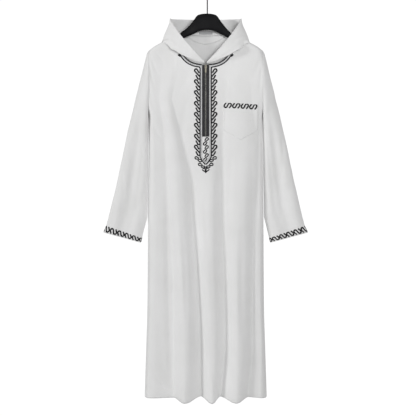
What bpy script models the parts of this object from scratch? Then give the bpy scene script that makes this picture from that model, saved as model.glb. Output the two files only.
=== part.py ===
"""White hooded thobe on a black wide-shouldered hanger. Sizes are in millimetres until the meshes are made.

+X is the photo's right, +Z is up and the front faces -Y. The origin is the inner crown of the hanger's hook.
"""

import math

import bpy
import numpy as np
from mathutils import Vector
from mathutils.bvhtree import BVHTree

MM = 0.001
ROBE_X = -6.0  # the robe hangs this far to the left of the hook
SEAM = 0.3  # gap between two sewn pieces
CLOTH = 2.0  # wall thickness of the robe's panels
SPLIT = 0.15  # the front and back panels each stop this far from the plane y = 0

NECK_HALF = 99.0
NECK_TOP = -170.5
NECK_DEPTH = 122.0
NECK_POWER = 2.7
ARMHOLE_X = 213.0
ARMHOLE_TOP = -236.0
ARMHOLE_LOW = -489.0
ARMHOLE_DEPTH = 29.0
CREST = 13.0  # height over which the cloth rounds over the hanger's arm
FAN = -422.0  # above this height the columns fan out to the shoulder and neck
SLIT_LOW = -562.0
SLIT_HALF = 10.0

# distance from the centre, height of the cloth's crest, half depth of the crest
SHOULDER = (
    (0, -170.5, 30),
    (99, -170.5, 17),
    (134, -190, 20.5),
    (169, -208.4, 23),
    (190, -219.3, 24),
    (213, -236, 24),
)
# height, half width of the body at its side seam
SIDE = ((-489, 213), (-710, 214.5), (-860, 216.5), (-1190, 218), (-1536, 229))
# height, middle depth of the panel, how far the folds have grown
GROWTH = (
    (-290, 28, 0.0),
    (-422, 28, 0.10),
    (-572, 29, 0.30),
    (-722, 31, 0.50),
    (-872, 33, 0.62),
    (-1022, 34, 0.75),
    (-1190, 35, 0.85),
    (-1359, 36, 0.93),
    (-1536, 37, 1.0),
)
FOLD_LEVELS = (-422, -572, -722, -872, -1022, -1190, -1359, -1536)
# depth at the hem, drop of the hem, then the fold's distance from the centre at each of FOLD_LEVELS
FRONT_FOLDS = (
    (27, 2, (-175, -167, -158, -147, -138, -134, -136, -118)),
    (60, 18, (-145, -132, -119, -112, -103, -94, -86, -78)),
    (22, -2, (-125, -99, -63, -57, -47, -37, -33, -18)),
    (58, 19, (1, 1, 1, -3, -5, 3, 12, 24)),
    (26, -2, (72, 50, 46, 49, 56, 61, 61, 54)),
    (60, 17, (131, 127, 118, 108, 101, 103, 107, 113)),
    (26, 0, (172, 180, 184, 171, 164, 162, 162, 158)),
)
BACK_FOLDS = (
    (26, 0, (-168, -164, -158, -150, -146, -140, -138, -132)),
    (56, 15, (-120, -112, -104, -98, -96, -92, -86, -80)),
    (24, -1, (-62, -60, -52, -46, -40, -42, -38, -34)),
    (52, 13, (-4, -4, 4, 8, 10, 8, 14, 18)),
    (27, 1, (58, 56, 60, 66, 70, 72, 76, 78)),
    (58, 16, (124, 120, 116, 118, 122, 124, 126, 130)),
    (27, 0, (170, 172, 168, 170, 172, 174, 176, 178)),
)
HEM = -1530.0
TOP_ROWS = (0.0, 0.008, 0.03, 0.062, 0.11, 0.2, 0.36, 0.66, 1.0)
LOWER_ROWS = (
    *(-455, -489, -522, -562, -605, -650, -700, -760, -825),
    *(-895, -970, -1050, -1135, -1225, -1315, -1405, -1480),
)

# turn round the neck from the front, then the hood's fold (x, z, y) and the edge of its opening (x, z, y)
HOOD = (
    (2.9, -4.6, -288.0, -33, -4.0, -284.0, -34),
    (21.3, -37.0, -279.0, -38, -39.4, -249.1, -46),
    (40.3, -70.0, -266.0, -44, -68.3, -215.8, -44),
    (58.0, -102.3, -253.7, -46, -101.8, -171.4, -28),
    (77.0, -129.9, -236.5, -40, -132.9, -118.6, 4),
    (90.0, -165.0, -210.0, -10, -125.6, -113.4, 26),
    (126.0, -158.0, -232.0, 40, -90.3, -109.7, 46),
    (155.0, -88.0, -312.0, 52, -48.6, -108.2, 58),
    (180.0, -0.2, -354.0, 56, -0.2, -107.3, 62),
)
# where the hood is cut between the rows above, closer over the shoulder
HOOD_CUTS = (
    *(0, 0.5, 1, 1.5, 2, 2.5, 3, 3.5, 4, 4.3, 4.55, 4.75, 4.9),
    *(4.96, 4.99, 5, 5.1, 5.25, 5.45, 5.7, 6, 6.5, 7, 7.5, 8),
)

# the outer and the inner line of the sleeve, each from the armhole to the cuff (x, z)
SLEEVE_OUTER = (
    *((-213.4, -236.1), (-220.1, -246.6), (-237, -313), (-256.9, -391.8)),
    *((-290.2, -530.5), (-328.9, -712.8), (-374.2, -896.9), (-383.6, -918.2)),
)
SLEEVE_INNER = (
    *((-213.4, -489.2), (-215.6, -600), (-216.2, -710)),
    *((-218.6, -860), (-237.0, -933.6), (-242.6, -956.5)),
)

# distance from the middle, shift towards the hook's line, top, underside, half depth
HANGER = (
    (9, 4.5, -97.6, -159.5, 8.5),
    (22, 4.5, -99.2, -162, 8.8),
    (34, 4.5, -102.8, -166, 9),
    (41, 4.5, -109.4, -169.8, 9),
    (48, 4.5, -119.9, -173.5, 9),
    (58, 4.2, -133.5, -177.8, 9.5),
    (71, 3.4, -149, -184, 9.5),
    (82, 1.6, -159.5, -189.6, 9.2),
    (90, 0.5, -165.4, -195, 9.4),
    (95.5, 0, -173.4, -199, 11),
)
# the same for the arms inside the shoulders: distance, height, share of the full depth
ARM = (
    *((104, 25, 0.9), (118, 22, 1), (134, 20, 1), (150, 19, 1), (169, 19, 1)),
    *((182, 18.5, 0.93), (191, 16, 0.85), (196, 11, 0.6), (199, 4, 0.25)),
)


def column_of(table, index):
    return np.array([row[index] for row in table], float)


def read(table, at, index):
    """Column of a table, read at a value of its first column."""
    keys = column_of(table, 0)
    values = column_of(table, index)
    order = np.argsort(keys)
    return float(np.interp(at, keys[order], values[order]))


def ease(share):
    share = min(max(share, 0.0), 1.0)
    return share * share * (3 - 2 * share)


def crest_height(x):
    """Height of the cloth's crest along the shoulder."""
    return read(SHOULDER, abs(x), 1)


def side_half(z):
    """Half width of the body at its side seams."""
    return read(SIDE, z, 1)


def armhole_depth(z):
    """Half depth of the armhole's oval at a height, and the seam gap below it."""
    middle = (ARMHOLE_TOP + ARMHOLE_LOW) / 2
    share = (z - middle) / (ARMHOLE_TOP - middle)
    if abs(share) >= 1:
        return SPLIT
    return max(SPLIT, ARMHOLE_DEPTH * math.sqrt(1 - share * share))


def neck_edge(x):
    """Height of the front neckline."""
    share = min(abs(x) / NECK_HALF, 1.0)
    return NECK_TOP - NECK_DEPTH * (1 - share**NECK_POWER) ** (1 / NECK_POWER)


def fold_depth(folds, x, z, share):
    """Depth that the folds add at a height, with the fold lines' depths joined by half waves."""
    growth = read(GROWTH, z, 2)
    at = share * (len(folds) + 1)
    left = min(int(at), len(folds))
    depths = [38.0, *[row[0] for row in folds], 38.0]
    blend = (1 - math.cos(math.pi * (at - left))) / 2
    depth = depths[left] + (depths[left + 1] - depths[left]) * blend
    return (depth - 37.0) * growth


def panel_depth(folds, x, z, share):
    """Distance of a panel's outer face from the plane y = 0."""
    drop = max(crest_height(x) - z, 0.0)
    crest = read(SHOULDER, abs(x), 2)
    level = crest + (read(GROWTH, z, 1) - crest) * ease((drop - CREST) / 110)
    if drop < CREST:
        level = crest * math.sqrt(max(1 - (1 - drop / CREST) ** 2, 0.0))
    inside = level + fold_depth(folds, x, z, share)
    edge = armhole_depth(z)
    reach = min(max((side_half(z) - abs(x)) / 30.0, 0.0), 1.0)
    rounding = math.sqrt(1 - (1 - reach) ** 2)
    return max(edge + (inside - edge) * rounding, SPLIT)


def fold_x(folds, z, share):
    """Distance from the centre of the line that keeps this share of the panel's width."""
    lines = [-side_half(z)]
    for row in folds:
        lines.append(float(np.interp(-z, [-level for level in FOLD_LEVELS], row[2])))
    lines.append(side_half(z))
    at = share * (len(folds) + 1)
    left = min(int(at), len(folds))
    return lines[left] + (lines[left + 1] - lines[left]) * (at - left)


def hem_drop(folds, share):
    """How far the hem hangs below its level at a share of the panel's width."""
    drops = [3.0, *[row[1] for row in folds], 3.0]
    at = share * (len(folds) + 1)
    left = min(int(at), len(folds))
    blend = (1 - math.cos(math.pi * (at - left))) / 2
    return drops[left] + (drops[left + 1] - drops[left]) * blend


def shares_of(count, edge_shares):
    """Shares of the panel's width for the columns, denser at both side seams."""
    inner = np.linspace(0, 1, count + 1)
    first = 1 / (len(FRONT_FOLDS) + 1)
    step = int(round(first * count))
    for k, share in enumerate(edge_shares):
        inner[k] = share * first
        inner[count - k] = 1 - share * first
    assert abs(inner[step] - first) < 1e-9
    return inner


def neck_places(neck_columns, front):
    """Distances from the centre at which the columns meet the neckline, from one side point to the other."""
    if front:
        half = [NECK_HALF * math.cos(math.radians(turn)) ** (2 / NECK_POWER) for turn in (0, 1.2, 5, 17, 36, 54, 72)]
        half.append(SLIT_HALF)
    else:
        half = [NECK_HALF * math.cos(math.pi / 2 * k / (neck_columns // 2)) for k in range(neck_columns // 2)]
    return [-x for x in half] + [0.0] + half[::-1]


def top_points(count, neck_height, neck_columns, front):
    """Points along the top of a panel: shoulder, neckline, shoulder."""
    sides = (count - neck_columns) // 2
    shoulder = [-213.0, -207.5, -194.0, -172.0, -152.0, -136.0, -121.0, -109.0]
    shoulder = list(np.interp(np.linspace(0, 1, sides + 1)[:-1], np.linspace(0, 1, 9), [*shoulder, -NECK_HALF]))
    points = [(x, crest_height(x)) for x in shoulder]
    points += [(x, neck_height(x)) for x in neck_places(neck_columns, front)]
    points += [(-x, crest_height(x)) for x in reversed(shoulder)]
    return points


def panel_grid(folds, count, front, neck_height, neck_columns, lower_rows):
    """Outer points of a panel, row by row from the shoulder and neckline down to the hem."""
    edge_shares = (0.0, 0.12, 0.35, 0.66) if count == 32 else (0.0, 0.16, 0.5)
    shares = shares_of(count, edge_shares)
    tops = top_points(count, neck_height, neck_columns, front)
    middle = count // 2
    rows = []
    for fraction in TOP_ROWS:
        row = []
        for column, share in enumerate(shares):
            x_low = fold_x(folds, FAN, share)
            if column in (0, count):
                x_low = math.copysign(ARMHOLE_X, x_low)
            if front and abs(column - middle) <= 1:
                x_low = (column - middle) * SLIT_HALF
            x_top, z_top = tops[column]
            if front and abs(column - middle) <= 1:
                x_top = (column - middle) * SLIT_HALF
                z_top = neck_height(x_top)
            x = x_top + (x_low - x_top) * fraction
            z = z_top + (FAN - z_top) * fraction
            row.append((x, z, share))
        rows.append(row)
    for z in lower_rows:
        row = []
        for column, share in enumerate(shares):
            x = fold_x(folds, z, share)
            if column in (0, count) and z >= ARMHOLE_LOW:
                x = math.copysign(ARMHOLE_X, x)
            if front and abs(column - middle) <= 1:
                slit = (column - middle) * SLIT_HALF
                x = slit + (x - slit) * ease((SLIT_LOW - z) / 150)
            row.append((x, z, share))
        rows.append(row)
    rows.append([(fold_x(folds, HEM, share), HEM - hem_drop(folds, share), share) for share in shares])
    facing = -1 if front else 1
    points = np.zeros((len(rows), count + 1, 3))
    for r, row in enumerate(rows):
        for c, (x, z, share) in enumerate(row):
            depth = panel_depth(folds, x, z, share)
            shoulder = r == 0 and abs(x) >= NECK_HALF - 0.01
            if shoulder or (c in (0, count) and z <= ARMHOLE_LOW):
                depth = SPLIT
            points[r, c] = (x, facing * depth, z)
    return points


def normals_of(grid, closed_columns=False):
    if closed_columns:
        across = np.roll(grid, -1, axis=1) - np.roll(grid, 1, axis=1)
    else:
        across = np.gradient(grid, axis=1)
    down = np.gradient(grid, axis=0)
    normal = np.cross(across, down)
    length = np.linalg.norm(normal, axis=2, keepdims=True)
    return normal / np.maximum(length, 1e-9)


def panel_inner(outer, front, thick=CLOTH):
    """Inner points of a panel, kept on its own side of each seam."""
    facing = -1 if front else 1
    normal = normals_of(outer)
    flip = np.sign(normal[:, :, 1:2] * facing)
    normal = normal * np.where(flip == 0, 1, flip)
    rows, columns = outer.shape[:2]
    for r in range(rows):
        for c in (0, columns - 1):
            x, y, z = outer[r, c]
            side = -1 if c == 0 else 1
            if z <= ARMHOLE_LOW + 0.01:
                normal[r, c] = (side, 0, 0)
            elif r == 0:
                normal[r, c] = (0, 0, 1)
            else:
                middle = (ARMHOLE_TOP + ARMHOLE_LOW) / 2
                ring = np.array((0.0, y / ARMHOLE_DEPTH**2, (z - middle) / (ARMHOLE_TOP - middle) ** 2))
                normal[r, c] = ring / np.linalg.norm(ring)
    for c in range(columns):
        if abs(outer[0, c, 0]) >= NECK_HALF - 0.01:
            normal[0, c] = (0, 0, 1)
    inner = outer - normal * thick
    for c in range(columns):
        if abs(outer[0, c, 0]) >= NECK_HALF - 0.01:
            inner[0, c, 1] = outer[0, c, 1]
    inner[:, :, 1] = facing * np.maximum(inner[:, :, 1] * facing, SPLIT)
    inner[:, 0, 0] = np.maximum(inner[:, 0, 0], outer[:, 0, 0])
    inner[:, -1, 0] = np.minimum(inner[:, -1, 0], outer[:, -1, 0])
    return inner


def material(name, colour, rough=0.8, metallic=0.0):
    made = bpy.data.materials.new(name)
    made.use_nodes = True
    shader = made.node_tree.nodes["Principled BSDF"]
    shader.inputs["Base Color"].default_value = (*colour, 1)
    shader.inputs["Roughness"].default_value = rough
    shader.inputs["Metallic"].default_value = metallic
    made.diffuse_color = (*colour, 1)
    return made


def add_mesh(name, points, faces, look, shift=ROBE_X):
    """Makes a node from points in millimetres, turned outward, in a collection of its own."""
    points = np.array(points, float)
    points[:, 0] += shift
    triangles = np.array(faces)
    corner = points[triangles]
    volume = np.einsum("ij,ij->i", corner[:, 0], np.cross(corner[:, 1], corner[:, 2])).sum()
    if volume < 0:
        triangles = triangles[:, ::-1]
    mesh = bpy.data.meshes.new(name)
    mesh.from_pydata((points * MM).tolist(), [], triangles.tolist())
    mesh.update()
    made = bpy.data.objects.new(name, mesh)
    made.data.materials.append(look)
    home = bpy.data.collections.new(name)
    bpy.context.scene.collection.children.link(home)
    home.objects.link(made)
    return made


def wall(name, outer, inner, look, closed=False, kept=None, shift=ROBE_X):
    """A closed wall between two grids of points. Cells that kept marks False are left open, with rims all round."""
    rows, columns = outer.shape[:2]
    points = np.concatenate([outer.reshape(-1, 3), inner.reshape(-1, 3)])
    half = rows * columns
    across = columns if closed else columns - 1
    outside = []
    for r in range(rows - 1):
        for c in range(across):
            if kept is not None and not kept[r, c]:
                continue
            a = r * columns + c
            b = r * columns + (c + 1) % columns
            d = a + columns
            e = b + columns
            outside.append((a, b, e))
            outside.append((a, e, d))
    edges = set()
    for a, b, c in outside:
        edges.update(((a, b), (b, c), (c, a)))
    faces = list(outside)
    faces += [(c + half, b + half, a + half) for a, b, c in outside]
    for a, b in sorted(edges):
        if (b, a) not in edges:
            faces.append((b, a, a + half))
            faces.append((b, a + half, b + half))
    used = sorted({index for face in faces for index in face})
    number = {index: k for k, index in enumerate(used)}
    faces = [tuple(number[index] for index in face) for face in faces]
    return add_mesh(name, points[used], faces, look, shift)


def loft(name, rings, look, shift=ROBE_X):
    """A closed solid through rings of points, with a fan at each end."""
    count = len(rings[0])
    points = [point for ring in rings for point in ring]
    faces = []
    for r in range(len(rings) - 1):
        for c in range(count):
            a = r * count + c
            b = r * count + (c + 1) % count
            faces.append((a, b, b + count))
            faces.append((a, b + count, a + count))
    for ring, first in ((0, 0), (len(rings) - 1, (len(rings) - 1) * count)):
        points.append(tuple(np.mean(rings[ring], axis=0)))
        centre = len(points) - 1
        for c in range(count):
            pair = (first + c, first + (c + 1) % count)
            faces.append((centre, pair[1], pair[0]) if ring == 0 else (centre, pair[0], pair[1]))
    return add_mesh(name, points, faces, look, shift)


def surface_tree(grid):
    rows, columns = grid.shape[:2]
    points = [Vector(point) for point in grid.reshape(-1, 3)]
    faces = []
    for r in range(rows - 1):
        for c in range(columns - 1):
            a = r * columns + c
            faces.append((a, a + 1, a + columns + 1))
            faces.append((a, a + columns + 1, a + columns))
    return BVHTree.FromPolygons(points, faces)


def on_surface(tree, x, z, front=True):
    """Depth of a panel's face at a place, found along Y."""
    way = 1 if front else -1
    hit = tree.ray_cast(Vector((x, -300.0 * way, z)), Vector((0, way, 0)))
    assert hit[0] is not None, (x, z)
    return hit[0].y


def laid(name, tree, grid_xz, lift, thick, look, swell=None, front=True):
    """A piece that lies on a panel: its back face is the panel's own surface moved out by lift."""
    way = -1 if front else 1
    rows, columns = len(grid_xz), len(grid_xz[0])
    back = np.zeros((rows, columns, 3))
    for r in range(rows):
        for c in range(columns):
            x, z = grid_xz[r][c]
            raised = lift + (swell(r / (rows - 1), c / (columns - 1)) if swell else 0.0)
            back[r, c] = (x, on_surface(tree, x, z, front) + way * raised, z)
    face = back.copy()
    face[:, :, 1] += way * thick
    return wall(name, face, back, look)


def between(held, t):
    """Smooth curve through four held points, at a share of the way from the second to the third."""
    p0, p1, p2, p3 = held
    straight = (p2 - p0) * t
    bend = (2 * p0 - 5 * p1 + 4 * p2 - p3) * t**2
    twist = (3 * p1 - p0 - 3 * p2 + p3) * t**3
    return 0.5 * (2 * p1 + straight + bend + twist)


def curve_through(points, count, starts=()):
    """Points on a smooth curve through the given ones: at the starting distances, then evenly spaced."""
    points = np.array(points, float)
    before = 2 * points[0] - points[1]
    after = 2 * points[-1] - points[-2]
    held = np.vstack([before, points, after])
    fine = []
    for k in range(1, len(held) - 2):
        for t in np.linspace(0, 1, 16, endpoint=False):
            fine.append(between(held[k - 1 : k + 3], t))
    fine.append(points[-1])
    fine = np.array(fine)
    steps = np.concatenate([[0], np.cumsum(np.linalg.norm(np.diff(fine, axis=0), axis=1))])
    near = [0.0, *starts][: len(starts)]
    last = starts[-1] if starts else 0.0
    at = [*near, *np.linspace(last, steps[-1], count - len(starts))]
    return np.stack([np.interp(at, steps, fine[:, k]) for k in range(points.shape[1])], axis=1)


def along(points, share):
    """Point at a share of the length of a broken line."""
    points = np.array(points, float)
    steps = np.concatenate([[0], np.cumsum(np.linalg.norm(np.diff(points, axis=0), axis=1))])
    at = share * steps[-1]
    return np.array([np.interp(at, steps, points[:, k]) for k in range(points.shape[1])])


def make_front(look):
    """The front panel, with the zip's slit."""
    outer = panel_grid(FRONT_FOLDS, 32, True, neck_edge, 16, LOWER_ROWS)
    inner = panel_inner(outer, True)
    kept = np.ones((outer.shape[0] - 1, 32), bool)
    for r in range(outer.shape[0] - 1):
        if outer[r + 1, 16, 2] >= SLIT_LOW - 0.01:
            kept[r, 15:17] = False
    wall("body_front", outer, inner, look, kept=kept)
    return outer


def back_neck(x):
    """Height of the back neckline."""
    share = min(abs(x) / NECK_HALF, 1.0)
    return NECK_TOP - 7.0 * math.sqrt(1 - share * share)


def make_back(look):
    """The back panel. Its inner points are where the facing is laid."""
    outer = panel_grid(BACK_FOLDS, 24, False, back_neck, 12, LOWER_ROWS[1::2])
    inner = panel_inner(outer, False)
    wall("body_back", outer, inner, look)
    return outer, inner


def sleeve_rings(side, around=20, steps=18):
    """Outer rings of a sleeve, from the armhole to the cuff."""
    rings = []
    for step in range(steps + 1):
        share = (step / steps) ** 1.08
        outer = along(SLEEVE_OUTER, share)
        inner = along(SLEEVE_INNER, share)
        middle = (outer + inner) / 2
        reach = (outer - inner) / 2
        depth = ARMHOLE_DEPTH + (21.0 - ARMHOLE_DEPTH) * ease(share / 0.6)
        grown = ease((share - 0.12) / 0.5)
        ring = []
        for k in range(around):
            angle = 2 * math.pi * k / around
            place = math.cos(angle)
            front = math.sin(angle) < 0
            bulge = abs(math.sin(angle)) ** (1 - 0.25 * grown)
            dip = 0.0
            if front:
                dip = 0.5 * grown * math.exp(-(((place - 0.1) / 0.36) ** 2))
                dip += 0.16 * grown * math.exp(-(((place + 0.55 - 0.3 * share) / 0.18) ** 2))
            else:
                dip = 0.4 * grown * math.exp(-(((place + 0.15) / 0.4) ** 2))
            x, z = middle + reach * place
            y = math.copysign(depth * bulge * (1 - dip), math.sin(angle)) if bulge > 1e-6 else 0.0
            ring.append((-side * x, y, z))
        rings.append(ring)
    return np.array(rings)


def make_sleeve(name, side, look):
    """A sleeve, cut flat where it meets the armhole."""
    outer = sleeve_rings(side)
    normal = normals_of(outer, closed_columns=True)
    centre = outer.mean(axis=1, keepdims=True)
    facing = np.sign((normal * (outer - centre)).sum())
    normal = normal * facing
    flat = outer[0] - centre[0]
    flat[:, 0] = 0
    normal[0] = flat / np.linalg.norm(flat, axis=1, keepdims=True)
    inner = outer - normal * 1.8
    inner[0, :, 0] = outer[0, :, 0]
    inner[:, :, 0] = side * np.maximum(side * inner[:, :, 0], ARMHOLE_X + SEAM)
    wall(name, outer, inner, look, closed=True)
    return outer


def hood_row(at):
    """The hood table read smoothly between its rows."""
    table = np.array(HOOD, float)
    held = np.vstack([2 * table[0] - table[1], table, 2 * table[-1] - table[-2]])
    left = min(int(at), len(table) - 2)
    return between(held[left : left + 4], at - left)


def neck_point(turn):
    """Where the hood meets the neckline, a seam gap above the panel's edge."""
    turn = min(max(turn, 0.0), 180.0)
    x = -NECK_HALF * math.sin(math.radians(turn))
    if turn > 90:
        z = back_neck(x)
        return np.array((x, panel_clear(x, z), z + 2 * SEAM))
    z = neck_edge(x)
    hole = np.array((0.0, NECK_TOP)) - np.array((x, z))
    hole /= max(np.linalg.norm(hole), 1e-6)
    gap = 1.2 + 0.5 * ease((89 - turn) / 20)
    return np.array((x + hole[0] * gap, -panel_clear(x, z), z + hole[1] * gap + SEAM))


def hood_profile(row):
    """Points of one cut through the hood, from the neckline out to the fold and up to the opening."""
    neck = neck_point(row[0])
    fold = np.array((row[1], row[3], row[2]), float)
    edge = np.array((row[4], row[6], row[5]), float)
    behind = ease((row[0] - 90) / 40)
    stand = neck + np.array((0, 0, 3.0 + 16.0 * behind))
    over = neck + (fold - neck) * 0.12 + np.array((0, 8.0 * behind, 2.0 + 17.0 * behind))
    down = neck + (fold - neck) * 0.55 + np.array((0, 6.0 * behind, -1.0 * behind))
    rise = fold + (edge - fold) * 0.4
    out = fold + (edge - fold) * 0.08
    if behind > 0.5:
        rise = rise + np.array((0, 9.0, 0))
        out = out + np.array((0, 7.0, 0))
    else:
        rise = rise + np.array((-4.0, -3.0, 0)) * min(abs(neck[0]) / 60, 1)
    if row[0] < 12:
        return curve_through((neck, (neck + fold) / 2, fold, edge), 13)
    return curve_through((neck, stand, over, down, fold, out, rise, edge), 13, (3.5, 8.0, 14.0))


def keep_clear(point, gap):
    """Moves a point of the hood out of the shoulder's rounding and the panels below it."""
    x, y, z = point
    crest = crest_height(x)
    if abs(x) < NECK_HALF and (z > neck_edge(x) if y < 0 else z > back_neck(x)):
        return point
    if z > crest - CREST:
        reach = read(SHOULDER, abs(x), 2) + gap
        rise = CREST + gap
        place = math.hypot(y / reach, (z - crest + CREST) / rise)
        if place >= 1:
            return point
        return np.array((x, y / place, crest - CREST + (z - crest + CREST) / place))
    depth = panel_clear(x, z) + gap
    return np.array((x, math.copysign(max(abs(y), depth), y), z))


def panel_clear(x, z):
    """Distance of the panels' outer faces from the plane y = 0 under the hood."""
    drop = max(crest_height(x) - z, 0.0)
    crest = read(SHOULDER, abs(x), 2)
    level = crest + (28 - crest) * ease((drop - CREST) / 110)
    if drop < CREST:
        level = crest * math.sqrt(max(1 - (1 - drop / CREST) ** 2, 0.0))
    return level


def hood_grid(side):
    """Outer points of one half of the hood."""
    grid = []
    for at in HOOD_CUTS:
        row = hood_row(at)
        profile = hood_profile(row)
        gap = 5.0 if row[0] < 90 else 3.6
        grid.append([profile[0], *[keep_clear(point, gap) for point in profile[1:]]])
    grid = np.array(grid)
    grid[:, :, 0] = np.minimum(grid[:, :, 0], -SPLIT)
    grid[-1, :, 0] = -SPLIT
    if side > 0:
        grid[:, :, 0] *= -1
    return grid


def make_hood(name, side, look):
    """One half of the hood, up to the seam along its middle."""
    outer = hood_grid(side)
    normal = normals_of(outer)
    inner = outer + side * normal * 1.6
    inner[-1, :, 0] = side * SPLIT
    inner[:, :, 0] = side * np.maximum(side * inner[:, :, 0], SPLIT)
    wall(name, outer, inner, look)
    return outer


def band_grid(path, half, lengthwise):
    """Points across a band that follows a path of (x, z)."""
    line = curve_through(path, lengthwise)
    way = np.gradient(line, axis=0)
    way /= np.linalg.norm(way, axis=1, keepdims=True)
    across = np.stack([-way[:, 1], way[:, 0]], axis=1)
    rows = []
    for point, turn in zip(line, across):
        rows.append([tuple(point + turn * half * share) for share in (-1.0, 0.0, 1.0)])
    return rows


def neck_offset(x, distance):
    """Point of the line that keeps a distance outside the front neckline."""
    way = np.array((0.2, neck_edge(x + 0.1) - neck_edge(x - 0.1)))
    way /= np.linalg.norm(way)
    return x + way[1] * distance, neck_edge(x) - way[0] * distance


def make_trims(tree, look):
    """The two braid trims: round the neck from under the hood, then down beside the zip."""
    for side, name in ((-1, "trim_left"), (1, "trim_right")):
        neck = [neck_offset(x, 6.6) for x in (90, 84, 76, 66, 54, 41, 28, 14)]
        neck = [(side * x, z) for x, z in neck]
        laid(name + "_neck", tree, band_grid(neck, 5.4, 18), 0.5, 0.9, look)
        place = [(side * 17.0, z) for z in (-306.0, -390, -475, -560, -655)]
        laid(name + "_placket", tree, band_grid(place, 4.3, 14), 0.5, 0.9, look)


def make_zip(tree, tape_look, coil_look, metal_look):
    """The two tapes behind the slit, the coil in it, and the slider with its arch at the top."""
    for side, name in ((-1, "zip_tape_left"), (1, "zip_tape_right")):
        rows = []
        for z in np.linspace(-294.5, -566.0, 12):
            rows.append([(side * x, z) for x in (0.2, 8.0, 15.5)])
        laid(name, tree, rows, -(CLOTH + 0.75), -0.8, tape_look)
    rows = []
    for z in np.linspace(-303.0, -560.0, 12):
        rows.append([(x, z) for x in (-3.0, 0.0, 3.0)])
    laid("zip_coil", tree, rows, -CLOTH, 1.6, coil_look)
    face = on_surface(tree, 0, -299.0)
    plate = box_at((-4.2, face - 3.0, -307.5), (4.2, face - 0.1, -294.5))
    arch = box_at((-1.0, face - 7.0, -303.3), (1.0, face - 2.6, -296.5))
    hole = box_at((-2.0, face - 6.0, -302.2), (2.0, face - 3.0, -297.6))
    slider = add_mesh("zip_slider", *plate, metal_look)
    join_box(slider, arch, "UNION", "arch")
    join_box(slider, hole, "DIFFERENCE", "hole")
    add_pull(face, metal_look)
    return face


def add_pull(face, look):
    """The pull tab: a flat ring at the top that the slider's arch passes through, and a plain tab below."""
    middle = face - 4.5
    top = -299.2
    heights = (top, top - 1.4, top - 5.4, top - 9.0, top - 22.0, top - 25.5)
    halves = (2.6, 2.6, 2.6, 2.3, 2.7, 1.8)
    grid = np.zeros((len(heights), 4, 3))
    for r, (z, half) in enumerate(zip(heights, halves)):
        for c, share in enumerate((-1.0, -0.54, 0.54, 1.0)):
            grid[r, c] = (half * share, middle - 0.65, z)
    back = grid.copy()
    back[:, :, 1] += 1.3
    kept = np.ones((len(heights) - 1, 3), bool)
    kept[1, 1] = False
    wall("zip_pull", grid, back, look, kept=kept)


def box_at(low, high):
    """Corner points and triangles of a box."""
    points = [(x, y, z) for x in (low[0], high[0]) for y in (low[1], high[1]) for z in (low[2], high[2])]
    quads = ((0, 1, 3, 2), (4, 6, 7, 5), (0, 4, 5, 1), (2, 3, 7, 6), (0, 2, 6, 4), (1, 5, 7, 3))
    faces = [triangle for a, b, c, d in quads for triangle in ((a, b, c), (a, c, d))]
    return points, faces


def join_box(target, box, how, label):
    """Adds a box to a node or cuts it out, with a hidden helper object."""
    helper = add_mesh("helper_" + label, *box, target.data.materials[0])
    helper.hide_render = True
    helper.display_type = "WIRE"
    change = target.modifiers.new(label, "BOOLEAN")
    change.operation = how
    change.object = helper
    change.solver = "EXACT"


def make_pocket(tree, look):
    """The patch pocket, with its pointed foot and a slight belly."""
    rows = []
    for down in np.linspace(0, 1, 11):
        row = []
        for across in np.linspace(0, 1, 13):
            x = 65.9 + 128.0 * across
            top = -435.2 - 7.0 * across
            foot = -537.5 - 36.5 * (1 - abs(2 * across - 1))
            row.append((x, top + (foot - top) * down))
        rows.append(row)

    def swell(down, across):
        return 2.2 * math.sin(math.pi * across) * (1 - down) * min(1.0, 0.45 + down)

    laid("pocket", tree, rows, 0.8, 1.2, look, swell=swell)


def make_neck_inside(inner, facing_look, label_look):
    """The half-moon facing on the back panel, and the blank label on the hood's base above it."""
    tree = surface_tree(inner)
    rows = []
    for down in np.linspace(0.02, 1, 6):
        row = []
        for across in np.linspace(-1, 1, 11):
            x = 70.0 * across
            top = back_neck(x) - 4.5
            foot = top - 24.5 * (1 - across * across) - 1.5
            row.append((x, top + (foot - top) * down))
        rows.append(row)
    laid("neck_facing", tree, rows, -0.6, -1.0, facing_look, front=False)
    strip = np.zeros((2, 9, 3))
    for r, z in enumerate((-161.5, -171.5)):
        for c, x in enumerate(np.linspace(-25, 25, 9)):
            strip[r, c] = (x, neck_point(180 - math.degrees(math.asin(abs(x) / NECK_HALF)))[1] - 2.9, z)
    back = strip.copy()
    back[:, :, 1] += 0.8
    wall("neck_label", strip, back, label_look)


def oval(x, top, low, half_depth, power=0.8, count=16):
    """Points round a cut through the hanger: an ellipse, or a fuller shape for a power under 1."""
    middle = (top + low) / 2
    reach = (top - low) / 2
    ring = []
    for k in range(count):
        angle = 2 * math.pi * k / count
        across = math.copysign(abs(math.cos(angle)) ** power, math.cos(angle))
        rise = math.copysign(abs(math.sin(angle)) ** power, math.sin(angle))
        ring.append((x, half_depth * across, middle + reach * rise))
    return ring


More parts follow.
